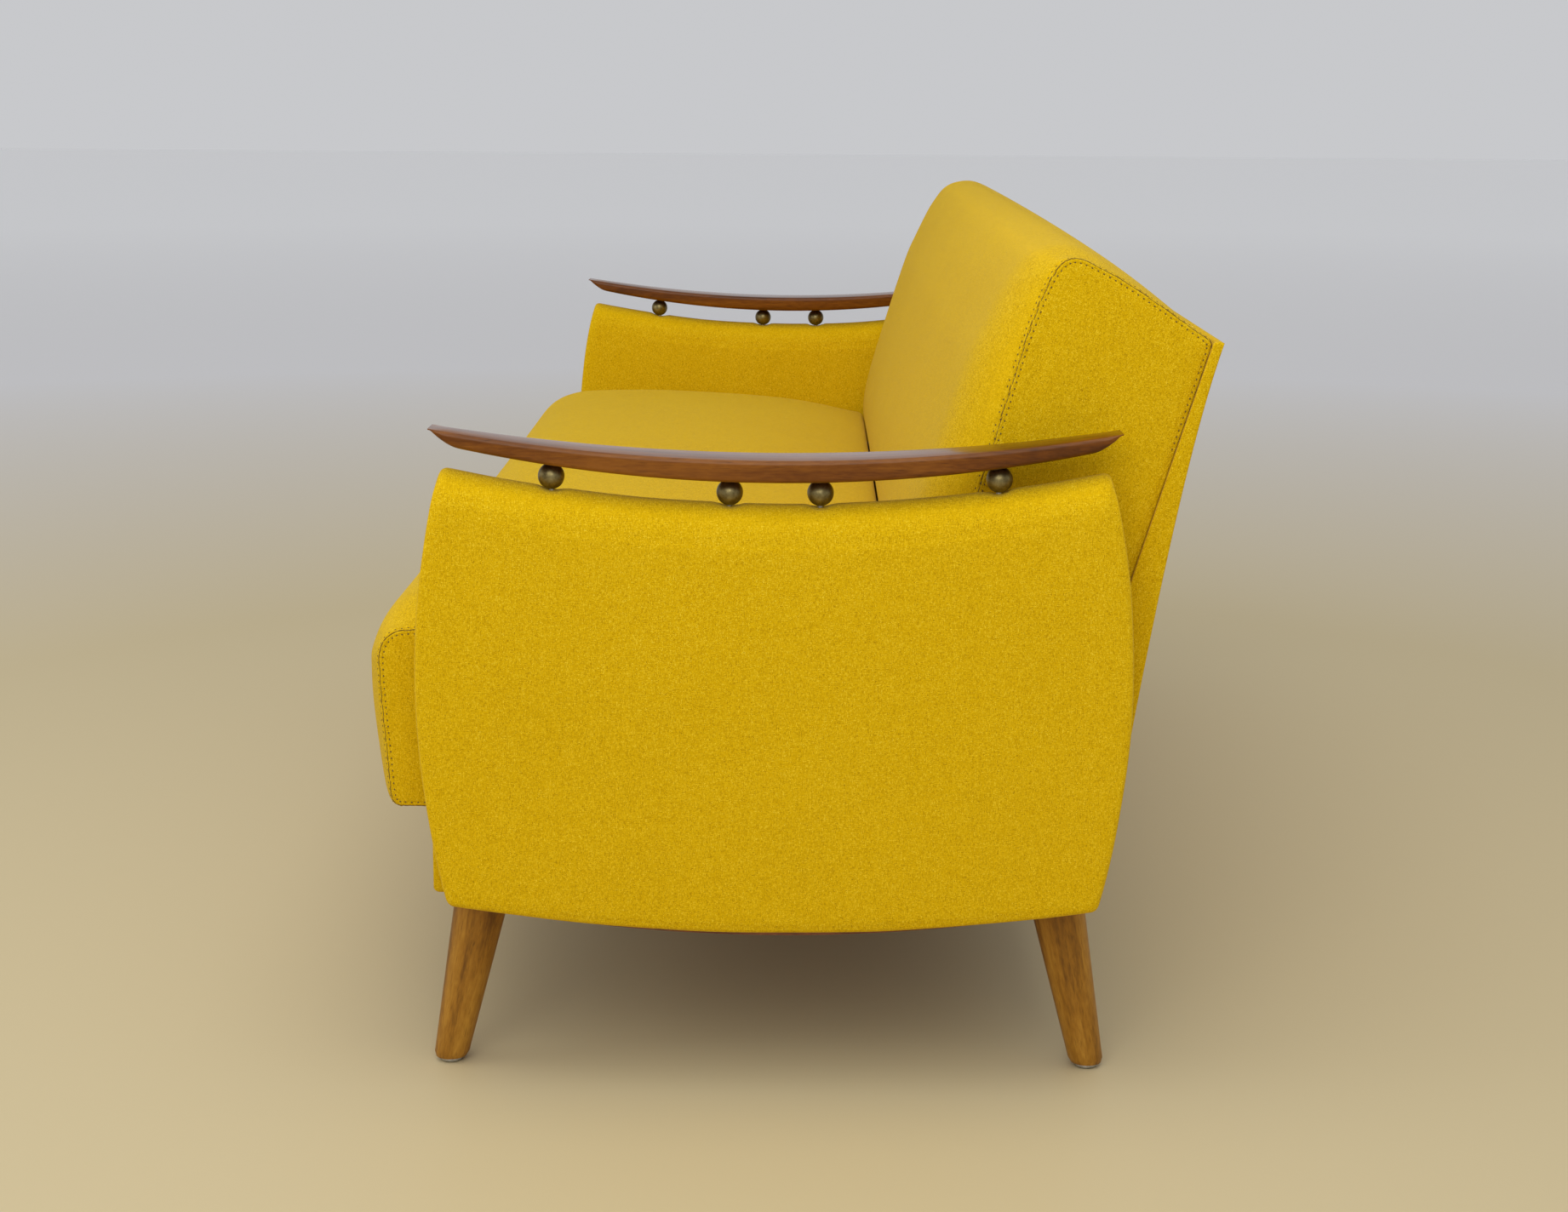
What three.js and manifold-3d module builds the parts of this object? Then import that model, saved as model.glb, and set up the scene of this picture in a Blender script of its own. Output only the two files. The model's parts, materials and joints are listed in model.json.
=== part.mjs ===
// A three-seat sofa bed on four splayed wooden legs. The seat slides forward on grooved side
// rails while the back, hinged to the seat's rear edge, folds down behind it.
// Frame: X along the sofa, -Y to the front, +Z up, origin on the floor under the middle.
import * as THREE from "three";
import { mergeVertices } from "three/addons/utils/BufferGeometryUtils.js";
import Module from "manifold-3d";

const wasm = await Module();
wasm.setup();

// Driving dimensions, mm
const LENGTH = 1880; // over the arms' outer faces
const ARM_THICK = 68;
const ARM_Y = -9; // middle of the arm, front to back
const SEAT_LENGTH = 1720; // seat and back units, end to end
const SEAT_FRONT = -421.5; // crown of the seat's front face
const SEAT_REAR = 112;
const SEAT_BOTTOM = 269;
const SEAT_TOP = 493.5; // crown
const SEAT_SEAM = 449; // top edge of the seat's end panels
const LEAN = (17 * Math.PI) / 180; // the back unit's lean
const BACK_FOOT = new THREE.Vector2(143, 400); // Y and Z of the back unit's lower front seam
const BACK_DEPTH = 158;
const BACK_HEIGHT = 448; // to the crown, along the lean
const HINGE = new THREE.Vector2(13, 32); // pivot: behind and above the back's lower front seam
const BOX_BOTTOM = 188;
const BOX_TOP = 262;
const BOARD = 22; // thickness of the box's rails
const LEG_TOP = 182.5;
const FIT = 0.3; // gap between parts that touch

const ARM_X = LENGTH / 2 - ARM_THICK / 2;
const ARM_INNER = LENGTH / 2 - ARM_THICK;
const SEAT_HALF = SEAT_LENGTH / 2;

// Arm panel: a barrel outline with a hollow top edge, in Y from ARM_Y and Z
const ARM_HALF = 320; // half depth at the top corners
const ARM_FOOT_HALF = 318;
const ARM_CORNER_TOP = 618;
const ARM_TOP_SAG = 33;
const ARM_CORNER_FOOT = 191;
const ARM_FOOT_SAG = 25;
const ARM_SIDE_BULGE = 27;
const ARM_CORE = 48; // thickness of the boarded frame inside
const ARM_CORE_FOOT_SAG = 28.5; // the core's lower edge shows a little below the covers
const ARM_EDGE = 7; // bevel round the covers
const ARM_CORNER = 12; // radius of the outline's corners

const BALL_R = 13;
const BALL_Y = [-214.5, -43.5, 43.5, 214.5]; // from ARM_Y
const REST_GAP = 26.9; // arm to armrest, across the balls
const REST_HALF = 330;
const REST_WIDTH = 60;
const REST_TOP = 633.5; // top of the armrest at its middle
const REST_RISE = 26.5; // how far its tips stand above that
const REST_BOW_HALF = 302; // its underside follows the arm to here, then runs up to the tips
const STUD_R = 3;
const STUD_IN_ARM = 28;
const STUD_IN_REST = 8;

const LEG_X = 855;
const LEG_MIDDLE_Y = -13;
const LEG_FOOT_SPREAD = 326; // front and rear feet from LEG_MIDDLE_Y
const LEG_TOP_SPREAD = 290;
const LEG_SPLAY = Math.atan(33 / 161); // its axis moves 33 mm in 161 mm of height
const LEG_FOOT_R = 17.4;
const LEG_TOP_R = 27.5;
const GLIDE_R = 12;
const GLIDE_HEIGHT = 5;
const PLATE_INNER_X = 812; // inner end of a leg plate
const PLATE_HALF = 28;

const FRONT_RAIL_Y = -346; // front face of the front rail's board
const REAR_RAIL_Y = 290; // front face of the rear rail
const SIDE_RAIL_X = 838; // inner face of a side rail
const SIDE_RAIL_THICK = 30;
const RAIL_COVER = 4; // fabric and wadding over the front rail
const FLOOR_LIFT = 20; // box floor above the rails' lower edges
const FLOOR_THICK = 4;
const GROOVE_LOW = 246.5;
const GROOVE_HIGH = 258.5;
const GROOVE_DEPTH = 11;
const TONGUE_PLAY = 0.7; // a guide's tongue in its groove, each way
const GUIDE_X = 818; // inner face of a seat guide
const GUIDE_FRONT = 127; // stays behind the front rail when the seat is fully forward
const GUIDE_REAR = 280;
const GUIDE_TAIL_TOP = 276;
const GUIDE_TOP = 330;
const GUIDE_POST = 13.7; // front to rear, above the tail

const SHELL_SKIN = 3;
const FRAME_WOOD = 45; // width of the seat and back frames' members
const FRAME_THICK = 31;
const FRAME_INSET = 10; // frames from the cushions' ends
const SPRING_INSET = 60; // spring units from the cushions' ends

const COLOURS = {
  fabric: [0.68, 0.42, 0.01],
  walnut: [0.23, 0.09, 0.01],
  pine: [0.66, 0.48, 0.28],
  board: [0.36, 0.14, 0.07],
  bronze: [0.28, 0.23, 0.15],
  steel: [0.55, 0.55, 0.56],
  felt: [0.45, 0.42, 0.36],
};
const FINISH = {
  fabric: [0.95, 0],
  walnut: [0.4, 0],
  pine: [0.7, 0],
  board: [0.8, 0],
  bronze: [0.35, 1],
  steel: [0.4, 1],
  felt: [0.95, 0],
};

const HANDS = [
  [1, "right"],
  [-1, "left"],
];

const sofa = new THREE.Group();

function add(name, finish, geometry) {
  const [roughness, metalness] = FINISH[finish];
  const color = new THREE.Color().setRGB(...COLOURS[finish]);
  const mesh = new THREE.Mesh(
    geometry,
    new THREE.MeshStandardMaterial({ color, roughness, metalness }),
  );
  mesh.name = name;
  sofa.add(mesh);
  return mesh;
}

// Boolean work
function solid(geometry) {
  const bare = geometry.clone();
  bare.deleteAttribute("normal");
  bare.deleteAttribute("uv");
  const merged = mergeVertices(bare, 1e-3);
  return new wasm.Manifold(
    new wasm.Mesh({
      numProp: 3,
      vertProperties: merged.attributes.position.array,
      triVerts: new Uint32Array(merged.index.array),
    }),
  );
}

function geometryOf(body) {
  const mesh = body.getMesh();
  return new THREE.BufferGeometry()
    .setAttribute("position", new THREE.BufferAttribute(mesh.vertProperties, 3))
    .setIndex(new THREE.BufferAttribute(mesh.triVerts, 1));
}

function cut(geometry, ...tools) {
  return geometryOf(tools.reduce((body, tool) => body.subtract(solid(tool)), solid(geometry)));
}

function join(geometry, ...others) {
  return geometryOf(others.reduce((body, other) => body.add(solid(other)), solid(geometry)));
}

function keep(geometry, region) {
  return geometryOf(solid(geometry).intersect(solid(region)));
}

// Basic shapes
function block(x0, x1, y0, y1, z0, z1) {
  return new THREE.BoxGeometry(x1 - x0, y1 - y0, z1 - z0).translate(
    (x0 + x1) / 2,
    (y0 + y1) / 2,
    (z0 + z1) / 2,
  );
}

function polygon(points) {
  return new THREE.Shape(points.map(([x, y]) => new THREE.Vector2(x, y)));
}

// A section drawn in Y and Z, extruded along X from x0 to x1
const SECTION_TO_WORLD = new THREE.Matrix4().makeBasis(
  new THREE.Vector3(0, 1, 0),
  new THREE.Vector3(0, 0, 1),
  new THREE.Vector3(1, 0, 0),
);

function alongX(shape, x0, x1, options = {}) {
  return new THREE.ExtrudeGeometry(shape, {
    depth: x1 - x0,
    bevelEnabled: false,
    curveSegments: 6,
    ...options,
  })
    .translate(0, 0, x0)
    .applyMatrix4(SECTION_TO_WORLD);
}

// An upright round piece: a lathe profile of [radius, height] pairs turned about Z
function turned(profile, segments = 20) {
  const points = profile.map(([r, z]) => new THREE.Vector2(r, z));
  return new THREE.LatheGeometry(points, segments).rotateX(Math.PI / 2);
}

function rod(radius, x, y, z0, z1) {
  const profile = [
    [0, z0],
    [radius, z0],
    [radius, z1],
    [0, z1],
  ];
  return turned(profile, 12).translate(x, y, 0);
}

const mirrored = (x0, x1, side) => (side > 0 ? [x0, x1] : [-x1, -x0]);

function sideBlock(side, x0, x1, ...rest) {
  return block(...mirrored(x0, x1, side), ...rest);
}

// Arms
const topEdge = (y) => ARM_CORNER_TOP - ARM_TOP_SAG * (1 - (y / ARM_HALF) ** 2);
const topSlope = (y) => (2 * ARM_TOP_SAG * y) / ARM_HALF ** 2;
const restUnderside = (y) => topEdge(y) + REST_GAP;

// A four-cornered outline whose edges bow out by the given amounts, with rounded corners
function bowedOutline(corners, bows, radius) {
  const shape = new THREE.Shape();
  const steps = 12;
  const starts = [];
  corners.forEach((from, i) => {
    const to = corners[(i + 1) % 4];
    const along = to.clone().sub(from);
    const outward = new THREE.Vector2(along.y, -along.x).normalize();
    const trim = radius / along.length();
    for (let k = 0; k <= steps; k++) {
      const t = trim + ((1 - 2 * trim) * k) / steps;
      const bow = 4 * bows[i] * t * (1 - t);
      const p = from.clone().addScaledVector(along, t).addScaledVector(outward, bow);
      if (k === 0) starts.push(p);
      if (k === 0 && i > 0) shape.quadraticCurveTo(from.x, from.y, p.x, p.y);
      else if (k === 0) shape.moveTo(p.x, p.y);
      else shape.lineTo(p.x, p.y);
    }
  });
  shape.quadraticCurveTo(corners[0].x, corners[0].y, starts[0].x, starts[0].y);
  return shape;
}

function armOutline(inset, footSag) {
  const corners = [
    new THREE.Vector2(ARM_Y - ARM_FOOT_HALF + inset, ARM_CORNER_FOOT + inset),
    new THREE.Vector2(ARM_Y + ARM_FOOT_HALF - inset, ARM_CORNER_FOOT + inset),
    new THREE.Vector2(ARM_Y + ARM_HALF - inset, ARM_CORNER_TOP - inset),
    new THREE.Vector2(ARM_Y - ARM_HALF + inset, ARM_CORNER_TOP - inset),
  ];
  const bows = [footSag, ARM_SIDE_BULGE, -ARM_TOP_SAG, ARM_SIDE_BULGE];
  return bowedOutline(corners, bows, ARM_CORNER);
}

function addArm(side, hand) {
  const half = ARM_THICK / 2;
  const coreHalf = ARM_CORE / 2;
  const padStart = coreHalf + FIT;
  const x = side * ARM_X;
  const padded = alongX(armOutline(ARM_EDGE, ARM_FOOT_SAG), x - half, x + half, {
    depth: ARM_THICK - 2 * ARM_EDGE,
    bevelEnabled: true,
    bevelThickness: ARM_EDGE,
    bevelSize: ARM_EDGE,
    bevelSegments: 2,
    curveSegments: 4,
  }).translate(ARM_EDGE, 0, 0);
  const outer = sideBlock(side, ARM_X + padStart, LENGTH, -500, 500, 0, 900);
  const inner = sideBlock(side, 0, ARM_X - padStart, -500, 500, 0, 900);
  add(`arm_cover_outer_${hand}`, "fabric", keep(padded, outer));
  add(`arm_cover_inner_${hand}`, "fabric", keep(padded, inner));

  const coreInset = 1.5;
  const outline = armOutline(coreInset, ARM_CORE_FOOT_SAG);
  const core = alongX(outline, x - coreHalf, x + coreHalf, { curveSegments: 4 });
  const holeDepth = STUD_IN_ARM + 2;
  const holes = BALL_Y.map((y) =>
    rod(STUD_R + FIT, x, ARM_Y + y, topEdge(y) - holeDepth, topEdge(y) + holeDepth),
  );
  add(`arm_core_${hand}`, "board", cut(core, ...holes));
  addArmrest(x, hand);
}

// Armrest: a bowed plank whose underside runs up to the tips, narrower towards its ends
function addArmrest(x, hand) {
  const topAt = (y) => REST_TOP + REST_RISE * (y / REST_HALF) ** 2;
  const bowEnd = restUnderside(REST_BOW_HALF);
  const bendY = REST_HALF - 9;
  const bendZ = bowEnd + 3;
  const shape = new THREE.Shape();
  const steps = 18;
  shape.moveTo(ARM_Y - REST_BOW_HALF, bowEnd);
  for (let k = 1; k <= steps; k++) {
    const y = -REST_BOW_HALF + (2 * REST_BOW_HALF * k) / steps;
    shape.lineTo(ARM_Y + y, restUnderside(y));
  }
  const tip = topAt(REST_HALF);
  shape.quadraticCurveTo(ARM_Y + bendY, bendZ, ARM_Y + REST_HALF, tip - 1);
  for (let k = 0; k <= steps; k++) {
    const y = REST_HALF - (2 * REST_HALF * k) / steps;
    shape.lineTo(ARM_Y + y, topAt(y));
  }
  shape.lineTo(ARM_Y - REST_HALF, tip - 1);
  shape.quadraticCurveTo(ARM_Y - bendY, bendZ, ARM_Y - REST_BOW_HALF, bowEnd);
  const plank = alongX(shape, -REST_WIDTH / 2, REST_WIDTH / 2, { steps: 2, curveSegments: 3 });
  const position = plank.attributes.position;
  for (let i = 0; i < position.count; i++) {
    const share = Math.abs(position.getY(i) - ARM_Y) / REST_HALF;
    position.setX(i, position.getX(i) * (1 - 0.42 * share ** 2.4));
  }
  plank.translate(x, 0, 0);
  const depth = STUD_IN_REST + 2;
  const holes = BALL_Y.map((y) =>
    rod(STUD_R + FIT, x, ARM_Y + y, restUnderside(y) - depth, restUnderside(y) + depth),
  );
  add(`armrest_${hand}`, "walnut", cut(plank, ...holes));
  BALL_Y.forEach((y, i) => {
    addBall(x, y, `${hand}_${i + 1}`);
    const studZ = [topEdge(y) - STUD_IN_ARM, restUnderside(y) + STUD_IN_REST];
    const stud = rod(STUD_R, x, ARM_Y + y, ...studZ);
    add(`ball_stud_${hand}_${i + 1}`, "steel", stud);
  });
}

// A bored ball that stands on the arm's top edge and carries the armrest
function addBall(x, y, label) {
  const bore = STUD_R + FIT;
  const end = Math.acos(bore / BALL_R);
  const steps = 8;
  const profile = [];
  for (let k = 0; k <= steps; k++) {
    const a = -end + (2 * end * k) / steps;
    profile.push([BALL_R * Math.cos(a), BALL_R * Math.sin(a)]);
  }
  profile.push(profile[0]);
  const lift = REST_GAP / 2 / Math.cos(Math.atan(topSlope(y)));
  const ball = turned(profile, 18).translate(x, ARM_Y + y, topEdge(y) + lift);
  add(`ball_${label}`, "bronze", ball);
}

// Legs: turned tapered posts that splay to the front and the rear, cut level at both ends
function addLeg(side, end, label) {
  const x = side * LEG_X;
  const footY = LEG_MIDDLE_Y + end * LEG_FOOT_SPREAD;
  const taperStart = 12;
  const slope = (LEG_TOP_R - LEG_FOOT_R) / 173;
  const taper = (z) => LEG_FOOT_R + slope * (z - taperStart);
  const over = 40;
  const profile = [
    [0, -over],
    [taper(-over), -over],
    [taper(LEG_TOP + over), LEG_TOP + over],
    [0, LEG_TOP + over],
  ];
  const post = turned(profile, 24).rotateX(end * LEG_SPLAY).translate(x, footY, 0);
  const slice = block(x - 80, x + 80, footY - 120, footY + 120, GLIDE_HEIGHT, LEG_TOP);
  add(`leg_${label}`, "walnut", keep(post, slice));

  const glide = [
    [0, 0],
    [GLIDE_R - 1, 0],
    [GLIDE_R, 1],
    [GLIDE_R, GLIDE_HEIGHT - FIT],
    [0, GLIDE_HEIGHT - FIT],
  ];
  add(`leg_glide_${label}`, "steel", turned(glide, 20).translate(x, footY - end, 0));

  const plateY = LEG_MIDDLE_Y + end * LEG_TOP_SPREAD;
  const plateX = [PLATE_INNER_X, ARM_INNER - 2];
  const plateZ = [LEG_TOP + FIT, BOX_BOTTOM - FIT];
  const plate = sideBlock(side, ...plateX, plateY - PLATE_HALF, plateY + PLATE_HALF, ...plateZ);
  add(`leg_plate_${label}`, "steel", plate);
}

// Box: front, rear and side rails round a fibre board floor
const RAIL_HALF = ARM_INNER - 4;

function addFrontRail() {
  const rearFace = FRONT_RAIL_Y + BOARD;
  const top = SEAT_BOTTOM - FIT - RAIL_COVER - FIT;
  add("front_rail", "pine", block(-RAIL_HALF, RAIL_HALF, FRONT_RAIL_Y, rearFace, BOX_BOTTOM, top));

  const front = FRONT_RAIL_Y - FIT;
  const coverTop = SEAT_BOTTOM - FIT;
  const lip = 8;
  const wrap = polygon([
    [front - RAIL_COVER, BOX_BOTTOM - RAIL_COVER],
    [front + lip, BOX_BOTTOM - RAIL_COVER],
    [front + lip, BOX_BOTTOM - FIT],
    [front, BOX_BOTTOM - FIT],
    [front, coverTop - RAIL_COVER],
    [rearFace, coverTop - RAIL_COVER],
    [rearFace, coverTop],
    [front - RAIL_COVER, coverTop],
  ]);
  const coverHalf = ARM_INNER - 1;
  add("front_rail_cover", "fabric", alongX(wrap, -coverHalf, coverHalf));
}

function addBox() {
  addFrontRail();
  const rear = [REAR_RAIL_Y, REAR_RAIL_Y + BOARD, BOX_BOTTOM, BOX_TOP];
  add("rear_rail", "pine", block(-RAIL_HALF, RAIL_HALF, ...rear));

  const y0 = FRONT_RAIL_Y + BOARD + FIT;
  const y1 = REAR_RAIL_Y - FIT;
  const floorHalf = SIDE_RAIL_X - FIT;
  const floorZ = BOX_BOTTOM + FLOOR_LIFT;
  const floor = block(-floorHalf, floorHalf, y0, y1, floorZ, floorZ + FLOOR_THICK);
  add("box_floor", "board", floor);
  const bearerHalf = 20;
  const bearer = block(-bearerHalf, bearerHalf, y0, y1, BOX_BOTTOM, floorZ - FIT);
  add("floor_bearer", "pine", bearer);

  for (const [side, hand] of HANDS) {
    const outerX = SIDE_RAIL_X + SIDE_RAIL_THICK;
    const rail = sideBlock(side, SIDE_RAIL_X, outerX, y0, y1, BOX_BOTTOM, BOX_TOP);
    const grooveX = [SIDE_RAIL_X - 5, SIDE_RAIL_X + GROOVE_DEPTH];
    const groove = sideBlock(side, ...grooveX, y0 - 5, y1 + 5, GROOVE_LOW, GROOVE_HIGH);
    add(`side_rail_${hand}`, "pine", cut(rail, groove));
    addSeatGuide(side, hand);
  }
}

// Seat guide: an arm screwed to the rear of the seat, with a tongue in the side rail's groove.
// Its tall part stays above the front rail, over which it passes when the seat is forward.
function addSeatGuide(side, hand) {
  const rear = SEAT_REAR + FIT;
  const heel = rear + GUIDE_POST;
  const foot = GROOVE_LOW - 3.5;
  const profile = polygon([
    [GUIDE_FRONT, foot],
    [GUIDE_REAR, foot],
    [GUIDE_REAR, GUIDE_TAIL_TOP],
    [heel, GUIDE_TAIL_TOP],
    [heel, GUIDE_TOP],
    [rear, GUIDE_TOP],
    [rear, SEAT_BOTTOM],
    [GUIDE_FRONT, SEAT_BOTTOM],
  ]);
  const arm = alongX(profile, ...mirrored(GUIDE_X, SIDE_RAIL_X - 0.5, side));
  const tongueX = [SIDE_RAIL_X - 1, SIDE_RAIL_X + GROOVE_DEPTH - TONGUE_PLAY];
  const tongueZ = [GROOVE_LOW + TONGUE_PLAY, GROOVE_HIGH - TONGUE_PLAY];
  const tongue = sideBlock(side, ...tongueX, GUIDE_FRONT, GUIDE_REAR, ...tongueZ);
  add(`seat_guide_${hand}`, "pine", join(arm, tongue));
}

// Shell: a thin panel behind the back, flat inside and curved outside
const SHELL_FOOT = 190;
const SHELL_TOP = 741;
const SHELL_INNER_FOOT = 312.6;
const SHELL_OUTER_FOOT = 322;
const SHELL_BEND = 396; // above this height the inner face leans with the back
const SHELL_CLEAR = 163; // inner face behind the back's seam line

// The section drawn in by inset, and carried down past its foot by opening
function shellSection(inset, opening) {
  const shape = new THREE.Shape();
  const foot = SHELL_FOOT - opening;
  const topY = -SEAT_FRONT - inset;
  const topZ = SHELL_TOP - inset;
  const clear = SHELL_CLEAR / Math.cos(LEAN);
  const leaning = (z) => BACK_FOOT.x + (z - BACK_FOOT.y) * Math.tan(LEAN) + clear;
  const innerFoot = SHELL_INNER_FOOT + inset * 0.4;
  shape.moveTo(innerFoot, foot);
  if (opening > 0) shape.lineTo(SHELL_OUTER_FOOT - inset, foot);
  shape.lineTo(SHELL_OUTER_FOOT - inset, SHELL_FOOT);
  shape.quadraticCurveTo(384 - inset, 610, topY, topZ);
  shape.lineTo(leaning(topZ) + inset * 0.2, topZ);
  shape.lineTo(innerFoot, SHELL_BEND);
  return shape;
}

function addShell() {
  const smooth = { curveSegments: 14 };
  const full = alongX(shellSection(0, 0), -RAIL_HALF, RAIL_HALF, smooth);
  const hollowX = RAIL_HALF - SHELL_SKIN;
  const hollow = alongX(shellSection(SHELL_SKIN, 30), -hollowX, hollowX, smooth);
  add("back_shell_cover", "fabric", cut(full, hollow));
  const core = alongX(shellSection(SHELL_SKIN + FIT, 0), -hollowX + FIT, hollowX - FIT, smooth);
  add("back_shell_core", "pine", core);
}

// Cushions: a crowned section drawn in towards the seam at both ends
function drawnIn(geometry, half, shrink) {
  const reach = 110;
  const position = geometry.attributes.position;
  for (let i = 0; i < position.count; i++) {
    const fromEnd = Math.min(1, (half - Math.abs(position.getX(i))) / reach);
    const pull = (1 - fromEnd) ** 2.2;
    shrink(position, i, pull);
  }
  return geometry;
}

// Rings at both ends close together, so that the crown falls away smoothly
function crownedAlongX(shape, half) {
  const steps = 48;
  return alongX(shape, -half, half, { steps, curveSegments: 4 });
}

function seatSection() {
  const shape = new THREE.Shape();
  shape.moveTo(-400, SEAT_BOTTOM);
  shape.lineTo(SEAT_REAR, SEAT_BOTTOM);
  shape.lineTo(SEAT_REAR, 430);
  shape.quadraticCurveTo(SEAT_REAR, 447, 98, 453);
  shape.bezierCurveTo(40, 476, -60, 488, -180, SEAT_TOP - 0.7);
  shape.bezierCurveTo(-230, SEAT_TOP + 0.6, -280, SEAT_TOP + 0.3, -320, 491);
  shape.bezierCurveTo(-375, 486, -400, 463, -411, 440);
  shape.bezierCurveTo(-427.2, 410, -425.5, 350, -400, SEAT_BOTTOM);
  return shape;
}

function addSeat() {
  const seat = drawnIn(crownedAlongX(seatSection(), SEAT_HALF), SEAT_HALF, (p, i, pull) => {
    const z = p.getZ(i);
    const y = p.getY(i);
    const crown = SEAT_TOP - SEAT_SEAM;
    const high = Math.max(0, (z - 400) / (SEAT_TOP - 400));
    p.setZ(i, z - pull * crown * high);
    const forward = Math.max(0, (-y - 370) / (-SEAT_FRONT - 370));
    p.setY(i, y + pull * 28 * forward);
  });
  const frameHalf = SEAT_HALF - FRAME_INSET;
  const frameFront = -376;
  const frameRear = SEAT_REAR - 8;
  const frameTop = SEAT_BOTTOM + FRAME_THICK;
  const frameRoom = block(-frameHalf, frameHalf, frameFront, frameRear, 200, frameTop + FIT);
  const springHalf = SEAT_HALF - SPRING_INSET;
  const springY = [-345, 70];
  const springTop = 392;
  const springRoom = block(-springHalf, springHalf, ...springY, frameTop - 10, springTop);
  add("seat_cushion", "fabric", cut(seat, frameRoom, springRoom));

  const inner = frameHalf - FIT;
  const front = frameFront + FIT;
  const rear = frameRear - FIT;
  const z0 = SEAT_BOTTOM + 0.5;
  const ring = block(-inner, inner, front, rear, z0, frameTop);
  add("seat_frame", "pine", slatted(ring, inner, front, rear, z0, frameTop));
  const spring = [springY[0] + FIT, springY[1] - FIT, frameTop + FIT, springTop - FIT];
  add("seat_spring_unit", "felt", block(-springHalf + FIT, springHalf - FIT, ...spring));
}

// Cuts the openings between the slats of a frame that runs along X
function slatted(ring, half, y0, y1, z0, z1) {
  const slats = 9;
  const slatWidth = 50;
  const room = 2 * (half - FRAME_WOOD);
  const opening = (room - slats * slatWidth) / (slats + 1);
  const tools = [];
  for (let k = 0; k <= slats; k++) {
    const x = -half + FRAME_WOOD + k * (opening + slatWidth);
    tools.push(block(x, x + opening, y0 + FRAME_WOOD, y1 - FRAME_WOOD, z0 - 5, z1 + 5));
  }
  return cut(ring, ...tools);
}

// The back unit is drawn upright at the origin: Y behind its front seam, Z up its height
function backSection() {
  const shape = new THREE.Shape();
  shape.moveTo(-15, 0);
  shape.lineTo(BACK_DEPTH, 0);
  shape.lineTo(BACK_DEPTH, 401);
  shape.lineTo(152, 406);
  shape.bezierCurveTo(110, 424, 60, 441, 22, BACK_HEIGHT - 1);
  shape.bezierCurveTo(-10, 451, -34, 430, -44, 394);
  shape.bezierCurveTo(-54, 352, -61, 290, -61, 210);
  shape.bezierCurveTo(-61, 130, -58, 80, -48, 50);
  shape.bezierCurveTo(-42, 33, -32, 12, -15, 0);
  return shape;
}

const toBack = new THREE.Matrix4()
  .makeRotationX(-LEAN)
  .setPosition(0, BACK_FOOT.x, BACK_FOOT.y);

function addBack() {
  const back = drawnIn(crownedAlongX(backSection(), SEAT_HALF), SEAT_HALF, (p, i, pull) => {
    const y = p.getY(i);
    const z = p.getZ(i);
    if (y < 0) p.setY(i, y * (1 - 0.72 * pull));
    const high = Math.max(0, (z - 380) / (BACK_HEIGHT - 380));
    p.setZ(i, z - pull * 14 * high);
  });
  const frameHalf = SEAT_HALF - FRAME_INSET;
  const frameFront = BACK_DEPTH - FRAME_THICK - 1;
  const frameLow = 12;
  const frameTop = 390;
  const frameRoom = block(-frameHalf, frameHalf, frameFront - FIT, 300, frameLow, frameTop);
  const springHalf = SEAT_HALF - SPRING_INSET;
  const springFront = 24;
  const springZ = [50, 350];
  const springRoom = block(-springHalf, springHalf, springFront, frameFront + 5, ...springZ);
  add("back_cushion", "fabric", cut(back, frameRoom, springRoom).applyMatrix4(toBack));

  const inner = frameHalf - FIT;
  const z0 = frameLow + FIT;
  const z1 = frameTop - FIT;
  const y1 = BACK_DEPTH - FIT;
  const flat = block(-inner, inner, -z1, -z0, frameFront, y1);
  const ladder = slatted(flat, inner, -z1, -z0, frameFront, y1).rotateX(-Math.PI / 2);
  add("back_frame", "pine", ladder.applyMatrix4(toBack));
  const spring = [springFront + FIT, frameFront - 2 * FIT, springZ[0] + FIT, springZ[1] - FIT];
  const springs = block(-springHalf + FIT, springHalf - FIT, ...spring);
  add("back_spring_unit", "felt", springs.applyMatrix4(toBack));
}

// Hinge: a plate on the seat, a plate on the back and a headed pin, in the gap beside each arm
const pivot = new THREE.Vector3(0, HINGE.x, HINGE.y).applyMatrix4(toBack);
const PIN_R = 5;
const PIN_HEAD_R = 8;
const EYE_R = 17; // the plates' round ends
const HINGE_PLATE = 3; // thickness
const BACK_PLATE_X = SEAT_HALF + 0.8;
const SEAT_PLATE_X = BACK_PLATE_X + HINGE_PLATE + 0.6;
const SEAT_PLATE_Z = [284, 330];
const SEAT_PLATE_FRONT = -40;
const BACK_PLATE_TOP = 215;
const BACK_PLATE_LEAN = 30; // its top stands this far behind its eye

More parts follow.
